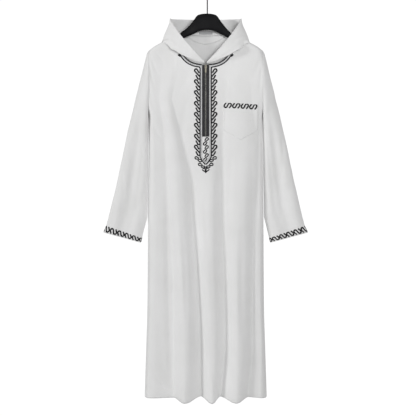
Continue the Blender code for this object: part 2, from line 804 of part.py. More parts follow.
def make_hanger(look, wire_look):
    """The hanger's body, lofted from end to end, and the wire hook above it."""
    rings = []
    for side in (-1, 1):
        half = []
        for x, shift, top, low, depth in HANGER:
            half.append((x * side + shift, top, low, depth))
        for x, height, share in ARM:
            slope = (crest_height(x + 4) - crest_height(x - 4)) / 8
            lid = crest_height(x) - (CLOTH + 1.1) * math.hypot(1, slope) - (19 - height) / 2 * (x > 184)
            depth = (read(SHOULDER, x, 2) - CLOTH - 2.0) * share
            half.append((x * side, lid, lid - height, depth, 1.0))
        half = [oval(*station) for station in half]
        rings = list(reversed(half)) if side < 0 else rings + half
    loft("hanger_body", rings, look)
    loop = 22.0
    centre = -2.3 - (loop - 4.6)
    path = [(0, 0, -97.3), (0, 0, -60.0), (0, 0, -47.5), (1.2, 0, -43.8), (5.0, 0, -41.0)]
    for degrees in range(-50, 216, 19):
        angle = math.radians(degrees)
        path.append((loop * math.cos(angle), 0, centre + loop * math.sin(angle)))
    tube("hanger_hook", path, 2.3, wire_look)


def tube(name, path, radius, look, count=10):
    """A round wire that follows a flat path in the XZ plane."""
    path = np.array(path, float)
    way = np.gradient(path, axis=0)
    way /= np.linalg.norm(way, axis=1, keepdims=True)
    rings = []
    for point, turn in zip(path, way):
        side = np.array((turn[2], 0, -turn[0]))
        ring = []
        for k in range(count):
            angle = 2 * math.pi * k / count
            ring.append(tuple(point + radius * (math.cos(angle) * side + math.sin(angle) * np.array((0, 1, 0)))))
        rings.append(ring)
    loft(name, rings, look, shift=0.0)


def main():
    for old in list(bpy.data.objects):
        bpy.data.objects.remove(old)
    white = material("white_cloth", (0.8, 0.8, 0.79), 0.9)
    hood_white = material("hood_cloth", (0.8, 0.8, 0.79), 0.9)
    braid = material("braid", (0.12, 0.12, 0.12), 0.7)
    tape = material("zip_tape", (0.03, 0.03, 0.03), 0.8)
    coil = material("zip_coil_plastic", (0.2, 0.2, 0.2), 0.5)
    metal = material("pull_metal", (0.7, 0.68, 0.6), 0.35, 1.0)
    label = material("label_cloth", (0.55, 0.55, 0.56), 0.8)
    plastic = material("hanger_plastic", (0.02, 0.02, 0.02), 0.45)
    wire = material("hook_wire", (0.02, 0.02, 0.02), 0.4, 0.8)
    front = make_front(white)
    _, back_inner = make_back(white)
    make_sleeve("sleeve_left", -1, white)
    make_sleeve("sleeve_right", 1, white)
    make_hood("hood_left", -1, hood_white)
    make_hood("hood_right", 1, hood_white)
    tree = surface_tree(front)
    make_trims(tree, braid)
    make_zip(tree, tape, coil, metal)
    make_pocket(tree, white)
    make_neck_inside(back_inner, white, label)
    make_hanger(plastic, wire)


main()
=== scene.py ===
"""The look of the hooded thobe on its hanger. Shapes are in millimetres, as in the part, and then scaled."""

import math

import bmesh
import bpy
import numpy as np
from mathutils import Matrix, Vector
from mathutils.bvhtree import BVHTree

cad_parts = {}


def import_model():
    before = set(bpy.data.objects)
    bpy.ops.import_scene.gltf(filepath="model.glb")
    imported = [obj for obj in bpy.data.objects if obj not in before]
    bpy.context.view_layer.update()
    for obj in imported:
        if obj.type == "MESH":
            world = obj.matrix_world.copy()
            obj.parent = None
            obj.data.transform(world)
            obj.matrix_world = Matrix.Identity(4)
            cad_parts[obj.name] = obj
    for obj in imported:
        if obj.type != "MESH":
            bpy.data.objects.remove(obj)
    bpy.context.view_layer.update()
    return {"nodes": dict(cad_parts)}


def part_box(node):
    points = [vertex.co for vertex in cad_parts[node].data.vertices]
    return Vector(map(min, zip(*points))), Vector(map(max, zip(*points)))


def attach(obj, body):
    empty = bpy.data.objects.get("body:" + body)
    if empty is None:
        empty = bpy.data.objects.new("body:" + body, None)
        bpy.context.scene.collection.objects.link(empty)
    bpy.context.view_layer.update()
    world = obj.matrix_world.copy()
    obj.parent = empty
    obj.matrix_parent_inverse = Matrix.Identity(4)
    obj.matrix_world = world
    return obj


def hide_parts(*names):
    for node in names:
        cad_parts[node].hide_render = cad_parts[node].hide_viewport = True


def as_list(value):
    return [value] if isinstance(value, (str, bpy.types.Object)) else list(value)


MM = 0.001
ROBE_X = -6.0  # the robe hangs this far to the left of the hook
SEAM = 0.3  # gap between two sewn pieces
CLOTH = 2.0  # wall thickness of the robe's panels
SPLIT = 0.15  # the front and back panels each stop this far from the plane y = 0

NECK_HALF = 99.0
NECK_TOP = -170.5
NECK_DEPTH = 122.0
NECK_POWER = 2.7
ARMHOLE_X = 213.0
ARMHOLE_TOP = -236.0
ARMHOLE_LOW = -489.0
ARMHOLE_DEPTH = 29.0
CREST = 13.0  # height over which the cloth rounds over the hanger's arm
FAN = -422.0  # above this height the columns fan out to the shoulder and neck
SETTLE = 110.0  # drop below the crest over which a panel reaches its middle depth
SIDE_ROUND = 30.0  # width over which a panel rounds away to its side seam
SLIT_LOW = -562.0
SLIT_HALF = 10.0
SLIT_JOIN = 150.0  # height below the slit over which its columns reach the folds' lines
SIDE_FOLD = 38.0  # the folds' depth at the side seams
MEAN_FOLD = 37.0  # the folds' depth that leaves a panel at its middle depth

# distance from the centre, height of the cloth's crest, half depth of the crest
SHOULDER = (
    (0, -170.5, 30),
    (99, -170.5, 17),
    (134, -190, 20.5),
    (169, -208.4, 23),
    (190, -219.3, 24),
    (213, -236, 24),
)
# height, half width of the body at its side seam
SIDE = ((-489, 213), (-710, 214.5), (-860, 216.5), (-1190, 218), (-1536, 229))
# height, middle depth of the panel, how far the folds have grown
GROWTH = (
    (-290, 28, 0.0),
    (-422, 28, 0.10),
    (-572, 29, 0.30),
    (-722, 31, 0.50),
    (-872, 33, 0.62),
    (-1022, 34, 0.75),
    (-1190, 35, 0.85),
    (-1359, 36, 0.93),
    (-1536, 37, 1.0),
)
FOLD_LEVELS = (-422, -572, -722, -872, -1022, -1190, -1359, -1536)
# depth at the hem, drop of the hem, then the fold's distance from the centre at each of FOLD_LEVELS
FRONT_FOLDS = (
    (27, 2, (-175, -167, -158, -147, -138, -134, -136, -118)),
    (60, 18, (-145, -132, -119, -112, -103, -94, -86, -78)),
    (22, -2, (-125, -99, -63, -57, -47, -37, -33, -18)),
    (58, 19, (1, 1, 1, -3, -5, 3, 12, 24)),
    (26, -2, (72, 50, 46, 49, 56, 61, 61, 54)),
    (60, 17, (131, 127, 118, 108, 101, 103, 107, 113)),
    (26, 0, (172, 180, 184, 171, 164, 162, 162, 158)),
)
BACK_FOLDS = (
    (26, 0, (-168, -164, -158, -150, -146, -140, -138, -132)),
    (56, 15, (-120, -112, -104, -98, -96, -92, -86, -80)),
    (24, -1, (-62, -60, -52, -46, -40, -42, -38, -34)),
    (52, 13, (-4, -4, 4, 8, 10, 8, 14, 18)),
    (27, 1, (58, 56, 60, 66, 70, 72, 76, 78)),
    (58, 16, (124, 120, 116, 118, 122, 124, 126, 130)),
    (27, 0, (170, 172, 168, 170, 172, 174, 176, 178)),
)
HEM = -1530.0
SIDE_DROP = 3.0  # how far the hem hangs below its level at the side seams
TOP_ROWS = (0.0, 0.008, 0.03, 0.062, 0.11, 0.2, 0.36, 0.66, 1.0)
LOWER_ROWS = (
    *(-455, -489, -522, -562, -605, -650, -700, -760, -825),
    *(-895, -970, -1050, -1135, -1225, -1315, -1405, -1480),
)

# turn round the neck from the front, then the hood's fold (x, z, y) and the edge of its opening (x, z, y)
HOOD = (
    (2.9, -4.6, -288.0, -33, -4.0, -284.0, -34),
    (21.3, -37.0, -279.0, -38, -39.4, -249.1, -46),
    (40.3, -70.0, -266.0, -44, -68.3, -215.8, -44),
    (58.0, -102.3, -253.7, -46, -101.8, -171.4, -28),
    (77.0, -129.9, -236.5, -40, -132.9, -118.6, 4),
    (90.0, -165.0, -210.0, -10, -125.6, -113.4, 26),
    (126.0, -158.0, -232.0, 40, -90.3, -109.7, 46),
    (155.0, -88.0, -312.0, 52, -48.6, -108.2, 58),
    (180.0, -0.2, -354.0, 56, -0.2, -107.3, 62),
)
# where the hood is cut between the rows above, closer over the shoulder
HOOD_CUTS = (
    *(0, 0.5, 1, 1.5, 2, 2.5, 3, 3.5, 4, 4.3, 4.55, 4.75, 4.9),
    *(4.96, 4.99, 5, 5.1, 5.25, 5.45, 5.7, 6, 6.5, 7, 7.5, 8),
)

# the outer and the inner line of the sleeve, each from the armhole to the cuff (x, z)
SLEEVE_OUTER = (
    *((-213.4, -236.1), (-220.1, -246.6), (-237, -313), (-256.9, -391.8)),
    *((-290.2, -530.5), (-328.9, -712.8), (-374.2, -896.9), (-383.6, -918.2)),
)
SLEEVE_INNER = (
    *((-213.4, -489.2), (-215.6, -600), (-216.2, -710)),
    *((-218.6, -860), (-237.0, -933.6), (-242.6, -956.5)),
)


def column_of(table, index):
    return np.array([row[index] for row in table], float)


def read(table, at, index):
    """Column of a table, read at a value of its first column."""
    keys = column_of(table, 0)
    values = column_of(table, index)
    order = np.argsort(keys)
    return float(np.interp(at, keys[order], values[order]))


def ease(share):
    share = min(max(share, 0.0), 1.0)
    return share * share * (3 - 2 * share)


def crest_height(x):
    """Height of the cloth's crest along the shoulder."""
    return read(SHOULDER, abs(x), 1)


def side_half(z):
    """Half width of the body at its side seams."""
    return read(SIDE, z, 1)


def armhole_depth(z):
    """Half depth of the armhole's oval at a height, and the seam gap below it."""
    middle = (ARMHOLE_TOP + ARMHOLE_LOW) / 2
    share = (z - middle) / (ARMHOLE_TOP - middle)
    if abs(share) >= 1:
        return SPLIT
    return max(SPLIT, ARMHOLE_DEPTH * math.sqrt(1 - share * share))


def neck_edge(x):
    """Height of the front neckline."""
    share = min(abs(x) / NECK_HALF, 1.0)
    return NECK_TOP - NECK_DEPTH * (1 - share**NECK_POWER) ** (1 / NECK_POWER)


def step_of(folds, share):
    """The fold line left of a share of a panel's width, and the way from it to the next one."""
    at = share * (len(folds) + 1)
    left = min(int(at), len(folds))
    return left, at - left


def fold_depth(folds, z, share):
    """Depth that the folds add at a height: broad ridges with narrow valleys between them."""
    growth = read(GROWTH, z, 2)
    left, way = step_of(folds, share)
    depths = [SIDE_FOLD, *[row[0] for row in folds], SIDE_FOLD]
    low, high = sorted(depths[left:left + 2])
    if low != depths[left]:
        way = 1 - way
    depth = low + (high - low) * math.sin(math.pi * min(max(way, 0.0), 1.0) / 2) ** RIDGE
    return (depth - MEAN_FOLD) * growth


def panel_clear(x, z, middle=28.0):
    """Distance of a smooth panel's outer face from the plane y = 0, for this depth at its middle."""
    drop = max(crest_height(x) - z, 0.0)
    crest = read(SHOULDER, abs(x), 2)
    if drop < CREST:
        return crest * math.sqrt(max(1 - (1 - drop / CREST) ** 2, 0.0))
    return crest + (middle - crest) * ease((drop - CREST) / SETTLE)


def panel_depth(folds, x, z, share):
    """Distance of a panel's outer face from the plane y = 0."""
    inside = panel_clear(x, z, read(GROWTH, z, 1)) + fold_depth(folds, z, share)
    edge = armhole_depth(z)
    reach = min(max((side_half(z) - abs(x)) / SIDE_ROUND, 0.0), 1.0)
    rounding = math.sqrt(1 - (1 - reach) ** 2)
    return max(edge + (inside - edge) * rounding, SPLIT)


def fold_x(folds, z, share):
    """Distance from the centre of the line that keeps this share of the panel's width."""
    shift = 0.0
    if folds is FRONT_FOLDS:
        shift = FOLD_SHIFT * min(max((FAN - z) / SHIFT_START, 0), 1)
        shift *= min(max((z - FOLD_LEVELS[-1]) / SHIFT_END, 0), 1)
    inner = [float(np.interp(-z, [-level for level in FOLD_LEVELS], row[2])) + shift for row in folds]
    lines = [-side_half(z), *inner, side_half(z)]
    left, way = step_of(folds, share)
    return lines[left] + (lines[left + 1] - lines[left]) * way


def hem_drop(folds, share):
    """How far the hem hangs below its level at a share of the panel's width."""
    drops = [SIDE_DROP, *[row[1] for row in folds], SIDE_DROP]
    left, way = step_of(folds, share)
    blend = (1 - math.cos(math.pi * way)) / 2
    return drops[left] + (drops[left + 1] - drops[left]) * blend


def shares_of(count, edge_shares):
    """Shares of the panel's width for the columns, denser at both side seams."""
    inner = np.linspace(0, 1, count + 1)
    first = 1 / (len(FRONT_FOLDS) + 1)
    for k, share in enumerate(edge_shares):
        inner[k] = share * first
        inner[count - k] = 1 - share * first
    return inner


def neck_places(neck_columns, front):
    """Distances from the centre at which the columns meet the neckline, from side point to side point."""
    if front:
        turns = (0, 1.2, 5, 17, 36, 54, 72)
        half = [NECK_HALF * math.cos(math.radians(turn)) ** (2 / NECK_POWER) for turn in turns]
        half.append(SLIT_HALF)
    else:
        steps = neck_columns // 2
        half = [NECK_HALF * math.cos(math.pi / 2 * k / steps) for k in range(steps)]
    return [-x for x in half] + [0.0] + half[::-1]


def top_points(count, neck_height, neck_columns, front):
    """Points along the top of a panel: shoulder, neckline, shoulder."""
    sides = (count - neck_columns) // 2
    held = [-ARMHOLE_X, -207.5, -194.0, -172.0, -152.0, -136.0, -121.0, -109.0, -NECK_HALF]
    shoulder = np.interp(np.linspace(0, 1, sides + 1)[:-1], np.linspace(0, 1, len(held)), held)
    points = [(x, crest_height(x)) for x in shoulder]
    points += [(x, neck_height(x)) for x in neck_places(neck_columns, front)]
    points += [(-x, crest_height(x)) for x in shoulder[::-1]]
    return points


def panel_grid(folds, count, front, neck_height, neck_columns, lower_rows):
    """Outer points of a panel, row by row from the shoulder and neckline down to the hem."""
    shares = shares_of(count, (0.0, 0.12, 0.35, 0.66) if front else (0.0, 0.16, 0.5))
    tops = top_points(count, neck_height, neck_columns, front)
    slit = {count // 2 + k: k * SLIT_HALF for k in (-1, 0, 1)} if front else {}
    rows = []
    for fraction in TOP_ROWS:
        row = []
        for column, share in enumerate(shares):
            x_low = fold_x(folds, FAN, share)
            if column in (0, count):
                x_low = math.copysign(ARMHOLE_X, x_low)
            x_top, z_top = tops[column]
            if column in slit:
                x_low = x_top = slit[column]
                z_top = neck_height(x_top)
            row.append((x_top + (x_low - x_top) * fraction, z_top + (FAN - z_top) * fraction, share))
        rows.append(row)
    for z in lower_rows:
        row = []
        for column, share in enumerate(shares):
            x = fold_x(folds, z, share)
            if column in (0, count) and z >= ARMHOLE_LOW:
                x = math.copysign(ARMHOLE_X, x)
            if column in slit:
                x = slit[column] + (x - slit[column]) * ease((SLIT_LOW - z) / SLIT_JOIN)
            row.append((x, z, share))
        rows.append(row)
    rows.append([(fold_x(folds, HEM, share), HEM - hem_drop(folds, share), share) for share in shares])
    facing = -1 if front else 1
    points = np.zeros((len(rows), count + 1, 3))
    for r, row in enumerate(rows):
        for c, (x, z, share) in enumerate(row):
            depth = panel_depth(folds, x, z, share)
            shoulder = r == 0 and abs(x) >= NECK_HALF - 0.01
            if shoulder or (c in (0, count) and z <= ARMHOLE_LOW):
                depth = SPLIT
            points[r, c] = (x, facing * depth, z)
    return points


def normals_of(grid, closed_columns=False):
    if closed_columns:
        across = np.roll(grid, -1, axis=1) - np.roll(grid, 1, axis=1)
    else:
        across = np.gradient(grid, axis=1)
    down = np.gradient(grid, axis=0)
    normal = np.cross(across, down)
    length = np.linalg.norm(normal, axis=2, keepdims=True)
    return normal / np.maximum(length, 1e-9)


def between(held, t):
    """Smooth curve through four held points, at a share of the way from the second to the third."""
    p0, p1, p2, p3 = held
    straight = (p2 - p0) * t
    bend = (2 * p0 - 5 * p1 + 4 * p2 - p3) * t**2
    twist = (3 * p1 - p0 - 3 * p2 + p3) * t**3
    return 0.5 * (2 * p1 + straight + bend + twist)


def lengths(points):
    """Distance along a broken line to each of its points."""
    return np.concatenate([[0], np.cumsum(np.linalg.norm(np.diff(points, axis=0), axis=1))])


def on_line(points, at):
    """Points of a broken line at these distances along it."""
    steps = lengths(points)
    return np.stack([np.interp(at, steps, column) for column in points.T], axis=-1)


def curve_through(points, count, starts=()):
    """Points on a smooth curve through the given ones: at the starting distances, then evenly spaced."""
    points = np.array(points, float)
    before = 2 * points[0] - points[1]
    after = 2 * points[-1] - points[-2]
    held = np.vstack([before, points, after])
    fine = []
    for k in range(1, len(held) - 2):
        for t in np.linspace(0, 1, 16, endpoint=False):
            fine.append(between(held[k - 1 : k + 3], t))
    fine.append(points[-1])
    fine = np.array(fine)
    near = [0.0, *starts][: len(starts)]
    last = starts[-1] if starts else 0.0
    return on_line(fine, [*near, *np.linspace(last, lengths(fine)[-1], count - len(starts))])


def along(points, share):
    """Point at a share of the length of a broken line."""
    points = np.array(points, float)
    return on_line(points, share * lengths(points)[-1])


def back_neck(x):
    """Height of the back neckline."""
    share = min(abs(x) / NECK_HALF, 1.0)
    return NECK_TOP - 7.0 * math.sqrt(1 - share * share)


def sleeve_rings(side, around=20, steps=18):
    """Outer rings of a sleeve, from the armhole to the cuff."""
    rings = []
    for step in range(steps + 1):
        share = (step / steps) ** 1.08
        outer = along(SLEEVE_OUTER, share)
        inner = along(SLEEVE_INNER, share)
        middle = (outer + inner) / 2
        reach = (outer - inner) / 2
        depth = ARMHOLE_DEPTH + (21.0 - ARMHOLE_DEPTH) * ease(share / 0.6)
        grown = ease((share - 0.12) / 0.5)
        ring = []
        for k in range(around):
            angle = 2 * math.pi * k / around
            place = math.cos(angle)
            front = math.sin(angle) < 0
            bulge = abs(math.sin(angle)) ** (1 - 0.25 * grown)
            dip = 0.0
            if front:
                dip = 0.5 * grown * math.exp(-(((place - 0.1) / 0.36) ** 2))
                dip += 0.16 * grown * math.exp(-(((place + 0.55 - 0.3 * share) / 0.18) ** 2))
            else:
                dip = 0.4 * grown * math.exp(-(((place + 0.15) / 0.4) ** 2))
            x, z = middle + reach * place
            y = math.copysign(depth * bulge * (1 - dip), math.sin(angle)) if bulge > 1e-6 else 0.0
            ring.append((-side * x, y, z))
        rings.append(ring)
    return np.array(rings)


def hood_row(at):
    """The hood table read smoothly between its rows."""
    table = np.array(HOOD, float)
    held = np.vstack([2 * table[0] - table[1], table, 2 * table[-1] - table[-2]])
    left = min(int(at), len(table) - 2)
    return between(held[left : left + 4], at - left)


def neck_point(turn):
    """Where the hood meets the neckline, a seam gap above the panel's edge."""
    turn = min(max(turn, 0.0), 180.0)
    x = -NECK_HALF * math.sin(math.radians(turn))
    if turn > 90:
        z = back_neck(x)
        return np.array((x, panel_clear(x, z), z + 2 * SEAM))
    z = neck_edge(x)
    hole = np.array((0.0, NECK_TOP)) - np.array((x, z))
    hole /= max(np.linalg.norm(hole), 1e-6)
    gap = 1.2 + 0.5 * ease((89 - turn) / 20)
    return np.array((x + hole[0] * gap, -panel_clear(x, z), z + hole[1] * gap + SEAM))


def hood_profile(row):
    """Points of one cut through the hood, from the neckline out to the fold and up to the opening."""
    neck = neck_point(row[0])
    fold = np.array((row[1], row[3], row[2]), float)
    edge = np.array((row[4], row[6], row[5]), float)
    behind = ease((row[0] - 90) / 40)
    stand = neck + np.array((0, 0, 3.0 + 16.0 * behind))
    over = neck + (fold - neck) * 0.12 + np.array((0, 8.0 * behind, 2.0 + 17.0 * behind))
    down = neck + (fold - neck) * 0.55 + np.array((0, 6.0 * behind, -1.0 * behind))
    rise = fold + (edge - fold) * 0.4
    out = fold + (edge - fold) * 0.08
    if behind > 0.5:
        rise = rise + np.array((0, 9.0, 0))
        out = out + np.array((0, 7.0, 0))
    else:
        rise = rise + np.array((-4.0, -3.0, 0)) * min(abs(neck[0]) / 60, 1)
    if row[0] < 12:
        return curve_through((neck, (neck + fold) / 2, fold, edge), 13)
    return curve_through((neck, stand, over, down, fold, out, rise, edge), 13, (3.5, 8.0, 14.0))


def keep_clear(point, gap):
    """Moves a point of the hood out of the shoulder's rounding and the panels below it."""
    x, y, z = point
    crest = crest_height(x)
    if abs(x) < NECK_HALF and (z > neck_edge(x) if y < 0 else z > back_neck(x)):
        return point
    if z > crest - CREST:
        reach = read(SHOULDER, abs(x), 2) + gap
        rise = CREST + gap
        place = math.hypot(y / reach, (z - crest + CREST) / rise)
        if place >= 1:
            return point
        return np.array((x, y / place, crest - CREST + (z - crest + CREST) / place))
    depth = panel_clear(x, z) + gap
    return np.array((x, math.copysign(max(abs(y), depth), y), z))


def hood_grid(side):
    """Outer points of one half of the hood."""
    grid = []
    for at in HOOD_CUTS:
        row = hood_row(at)
        profile = hood_profile(row)
        gap = 5.0 if row[0] < 90 else 3.6
        grid.append([profile[0], *[keep_clear(point, gap) for point in profile[1:]]])
    grid = np.array(grid)
    grid[:, :, 0] = np.minimum(grid[:, :, 0], -SPLIT)
    grid[-1, :, 0] = -SPLIT
    if side > 0:
        grid[:, :, 0] *= -1
    return grid


def neck_offset(x, distance):
    """Point of the line that keeps a distance outside the front neckline."""
    way = np.array((0.2, neck_edge(x + 0.1) - neck_edge(x - 0.1)))
    way /= np.linalg.norm(way)
    return x + way[1] * distance, neck_edge(x) - way[0] * distance


# start x, start z, end x, end z, width, depth, bow: soft troughs (negative) and ridges in the front panel
FRONT_CREASES = (
    (-206, -248, -176, -330, 5, -1.8, 4),
    (-212, -268, -192, -372, 6, -2.2, 3),
    (-196, -240, -150, -296, 6, -1.2, -5),
    (-211, -330, -196, -455, 8, -2.0, 5),
    (-210, -478, -150, -585, 9, -2.0, 8),
    (-170, -420, -140, -640, 12, -2.0, -6),
    (206, -250, 176, -338, 6, -1.8, -4),
    (211, -290, 196, -400, 7, -2.0, -3),
    (203, -420, 199, -660, 5, -2.6, 2),
    (210, -470, 188, -560, 7, -1.6, -4),
    (213, -1097, 214, -1254, 4, -2.2, 0),
    (-202, -1442, -123, -1509, 6, -2.6, 5),
    (-206, -1380, -150, -1440, 8, 1.2, 6),
    (-60, -400, -96, -620, 12, -1.6, 7),
    (64, -600, 48, -860, 14, -2.2, -5),
    (100, -600, 84, -900, 10, -1.6, 4),
    (-6, -740, 14, -1040, 9, -1.8, 5),
    (-86, -900, -70, -1240, 9, -2.0, -4),
    (136, -900, 140, -1350, 10, -2.2, 6),
    (186, -700, 196, -1020, 9, -1.6, -5),
    (-186, -760, -196, -1120, 10, -1.6, 5),
    (-52, -300, -110, -400, 14, -1.2, -8),
    (58, -320, 112, -400, 14, -1.2, 8),
    (20, -1250, 34, -1520, 8, -1.6, 3),
    (-28, -1180, -34, -1500, 5, -1.8, 2),
    (88, -1150, 82, -1500, 7, -1.6, -3),
    (120, -230, 196, -262, 9, -0.8, 4),
    (-120, -228, -190, -262, 9, -0.8, -4),
    (-145, -640, -127, -1528, 8, -2.1, 5),
    (-164, -660, -145, -1528, 13, 1.6, 5),
    (-62, -640, -34, -1517, 8, -1.6, -6),
    (-82, -650, -54, -1500, 13, 1.6, -6),
    (46, -650, 63, -1528, 7, -1.5, 4),
    (26, -660, 44, -1510, 13, 1.4, 4),
    (172, -600, 174, -1517, 7, -1.7, -3),
    (146, -620, 150, -1500, 14, 1.7, -3),
)
# the same on the hood's front and on the part that hangs behind
HOOD_CREASES = (
    (160, -172, 92, -222, 5, -1.8, 3),
    (140, -140, 110, -190, 7, 1.4, 4),
    (-156, -184, -100, -220, 6, -1.4, -3),
    (-136, -136, -92, -196, 8, 1.2, -5),
    (-60, -262, -30, -282, 5, 1.0, 2),
    (62, -258, 34, -280, 5, 1.0, -2),
)
HOOD_BACK_CREASES = (
    (-150, -205, -40, -300, 9, 2.0, 8),
    (-110, -150, -30, -240, 10, 1.8, 6),
    (146, -200, 52, -306, 9, 2.2, -9),
    (104, -148, 24, -230, 9, 1.6, -6),
    (-70, -300, -8, -345, 8, 1.4, -4),
    (78, -290, 10, -342, 7, 1.5, 4),
)
FOLD_SHIFT = 13.0  # how far the front's folds lie beyond the solid's, towards the photo's right
SHIFT_START = 150.0  # the shift grows over this height, below the level where the columns fan out
SHIFT_END = 180.0  # and fades over this height above the hem
RIDGE = 1.15  # below 2 makes the folds' valleys narrower than their ridges

THREAD_LIFT = 0.15  # gap between a thread and the sheet below it
LINK_FILL = 0.93  # share of the pattern's repeat that a link fills
LINK_SLANT = 46.0  # degrees between a link's bar and the way across the band
LINK_RETURN = 0.36  # length of a hook's free end, as a share of the link's
CURL_LEAN = 25.0  # degrees between a curl's bar and the way across the band
CURL_SHARE = 0.27  # radius of a curl's ends, as a share of its width
CURL_RETURN = 0.56  # length of a curl's free end, as a share of its width
LINK_TURN = 16.0  # degrees by which the free end leans off the bar
HOOK_SHARE = 0.25  # radius of a hook, as a share of the link's width
CHAIN = 5.8  # width of the thread beside the placket
FOOT = 4.4  # the same at the placket's foot and below the zip
CURL = 5.7  # the same on the pocket and the cuffs
CHAIN_HIGH = 0.9  # height of the embroidery
CHAIN_X = 30.8  # distance of the placket's chain from the middle
CHAIN_TOP = -308.9
CHAIN_REPEAT = 40.6
CHAIN_LINKS = 8
CORD = 4.9  # width of the trim's black cord
CORD_X = 20.6  # distance of the outer cord from the middle
BRAID_X = 16.4  # the same of the pale braid
TRIM_LOW = -636.0  # where the trims leave the upright
# the last two stitches of each side at the placket's foot
FOOT_ENDS = (
    ((13.0, -683.5), (9.0, -688.0), (4.5, -690.5), (0.4, -694.5)),
    ((8.0, -676.0), (4.0, -678.5), (1.6, -683.0), (0.6, -690.0)),
)
STITCH = 3.2
STITCH_GAP = 1.5

SIDES = ((-1, "left"), (1, "right"))
ZIP_TOP = -294.5
ZIP_LOW = -566.0
TAPE_WIDE = 15.3
TAPE_DEEP = 2.75  # how far a tape lies below the front's face
TOOTH_STEP = 1.55
POCKET_X = 65.9
POCKET_WIDE = 128.0
POCKET_TOP = -435.2
FACING_HALF = 70.0
LABEL_HALF = 25.0

SURROUND_WHITE = 1.05  # strength of the surround behind the robe
SURROUND_LOW = 0.3  # and on the camera's side
CAMERA_FAR = 3.2  # metres, as the lights and the camera are
VIEW_WIDE = 1.56
SENSOR = 36.0
FLOOR_RADIUS = 1100.0
FLOOR_LEVEL = -1900.0


# Shapes of the sheets and threads


def monotone(values, places, wanted):
    """Smooth values along the first axis, without overshoot."""
    shape = (-1,) + (1,) * (values.ndim - 1)
    gap = np.diff(places).reshape(shape)
    slope = np.diff(values, axis=0) / gap
    turn = np.zeros_like(values)
    turn[0] = slope[0]
    turn[-1] = slope[-1]
    before = 2 * gap[1:] + gap[:-1]
    after = gap[1:] + 2 * gap[:-1]
    same = slope[1:] * slope[:-1] > 0
    first = np.where(same, slope[:-1], 1.0)
    second = np.where(same, slope[1:], 1.0)
    turn[1:-1] = np.where(same, (before + after) / (before / first + after / second), 0.0)
    k = np.clip(np.searchsorted(places, wanted, side="right") - 1, 0, len(places) - 2)
    width = (places[k + 1] - places[k]).reshape(shape)
    t = ((wanted - places[k]).reshape(shape)) / width
    rise = t * t * (3 - 2 * t)
    bend = width * (t * (1 - t) ** 2 * turn[k] - t * t * (1 - t) * turn[k + 1])
    return values[k] * (1 - rise) + values[k + 1] * rise + bend


def places_of(grid):
    """Mean distance down a grid to each of its rows."""
    return np.concatenate([[0], np.cumsum(np.linalg.norm(np.diff(grid, axis=0), axis=2).mean(axis=1))])


def finer(places, step):
    """Positions between the given ones, no further apart than a step, with the given ones kept."""
    fine = []
    for low, high in zip(places[:-1], places[1:]):
        fine += list(np.linspace(low, high, max(1, math.ceil((high - low) / step)) + 1)[:-1])
    return np.array([*fine, places[-1]])


def dense(grid, row_step, column_step):
    """A smooth grid through a coarse one, and the coarse row and column that each fine one stands for."""
    down = places_of(grid)
    fine_down = finer(down, row_step)
    grid = monotone(grid, down, fine_down)
    turned = grid.transpose(1, 0, 2)
    across = places_of(turned)
    fine_across = finer(across, column_step)
    grid = monotone(turned, across, fine_across).transpose(1, 0, 2)
    rows = np.interp(fine_down, down, np.arange(len(down)))
    columns = np.interp(fine_across, across, np.arange(len(across)))
    return grid, rows, columns


def crease_depth(x, z, creases):
    total = np.zeros_like(x)
    for x0, z0, x1, z1, width, depth, bow in creases:
        long_x = x1 - x0
        long_z = z1 - z0
        length = math.hypot(long_x, long_z)
        share = ((x - x0) * long_x + (z - z0) * long_z) / length**2
        inside = np.clip(share, 0, 1)
        aside = ((x - x0) * long_z - (z - z0) * long_x) / length - bow * np.sin(math.pi * inside)
        fade = np.sin(math.pi * inside) ** 0.8 * (share > 0) * (share < 1)
        total += depth * fade * np.exp(-((aside / width) ** 2))
    return total


def scattered(seed, count, low, high, lean):
    """Uneven creases for a side that the photo doesn't show."""
    pick = np.random.default_rng(seed)
    found = []
    for _ in range(count):
        x, z = pick.uniform(low, high)
        length = pick.uniform(90, 380)
        slant = pick.uniform(-lean, lean)
        depth = pick.uniform(-2.6, -0.8)
        end = (x + slant * length, z - length)
        found.append((x, z, *end, pick.uniform(6, 14), depth, pick.uniform(-8, 8)))
    return tuple(found)


def ripple(x, z, size):
    """Faint unevenness of hanging cloth."""
    soft = np.sin(x / 19 + 1.3 * np.sin(z / 83)) * np.sin(z / 61 + 0.7 * np.sin(x / 37))
    fine = np.sin(x / 8.3 + z / 29) * np.sin(z / 23 - x / 17)
    return size * (0.7 * soft + 0.3 * fine)


def mesh_object(name, points, faces, shift=ROBE_X, smooth=True):
    points = np.array(points, float).reshape(-1, 3)
    points[:, 0] += shift
    mesh = bpy.data.meshes.new(name)
    mesh.from_pydata((points * MM).tolist(), [], faces)
    mesh.update()
    made = bpy.data.objects.new(name, mesh)
    bpy.context.scene.collection.objects.link(made)
    if smooth:
        mesh.shade_smooth()
    return made


def grid_faces(rows, columns, closed=False, kept=None):
    faces = []
    for r in range(rows - 1):
        for c in range(columns if closed else columns - 1):
            if kept is not None and not kept(r, c):
                continue
            a = r * columns + c
            b = r * columns + (c + 1) % columns
            faces.append((a, b, b + columns, a + columns))
    return faces


def grid_of(downs, acrosses, spot):
    """Points of a sheet, where spot gives each from its place down and across."""
    return np.array([[spot(down, across) for across in acrosses] for down in downs])


def outer_side(grid, facing):
    """Directions out of a panel's face, towards the front (-1) or the back (1)."""
    lift = normals_of(grid)
    return lift * np.where(lift[:, :, 1:2] * facing < 0, -1, 1)


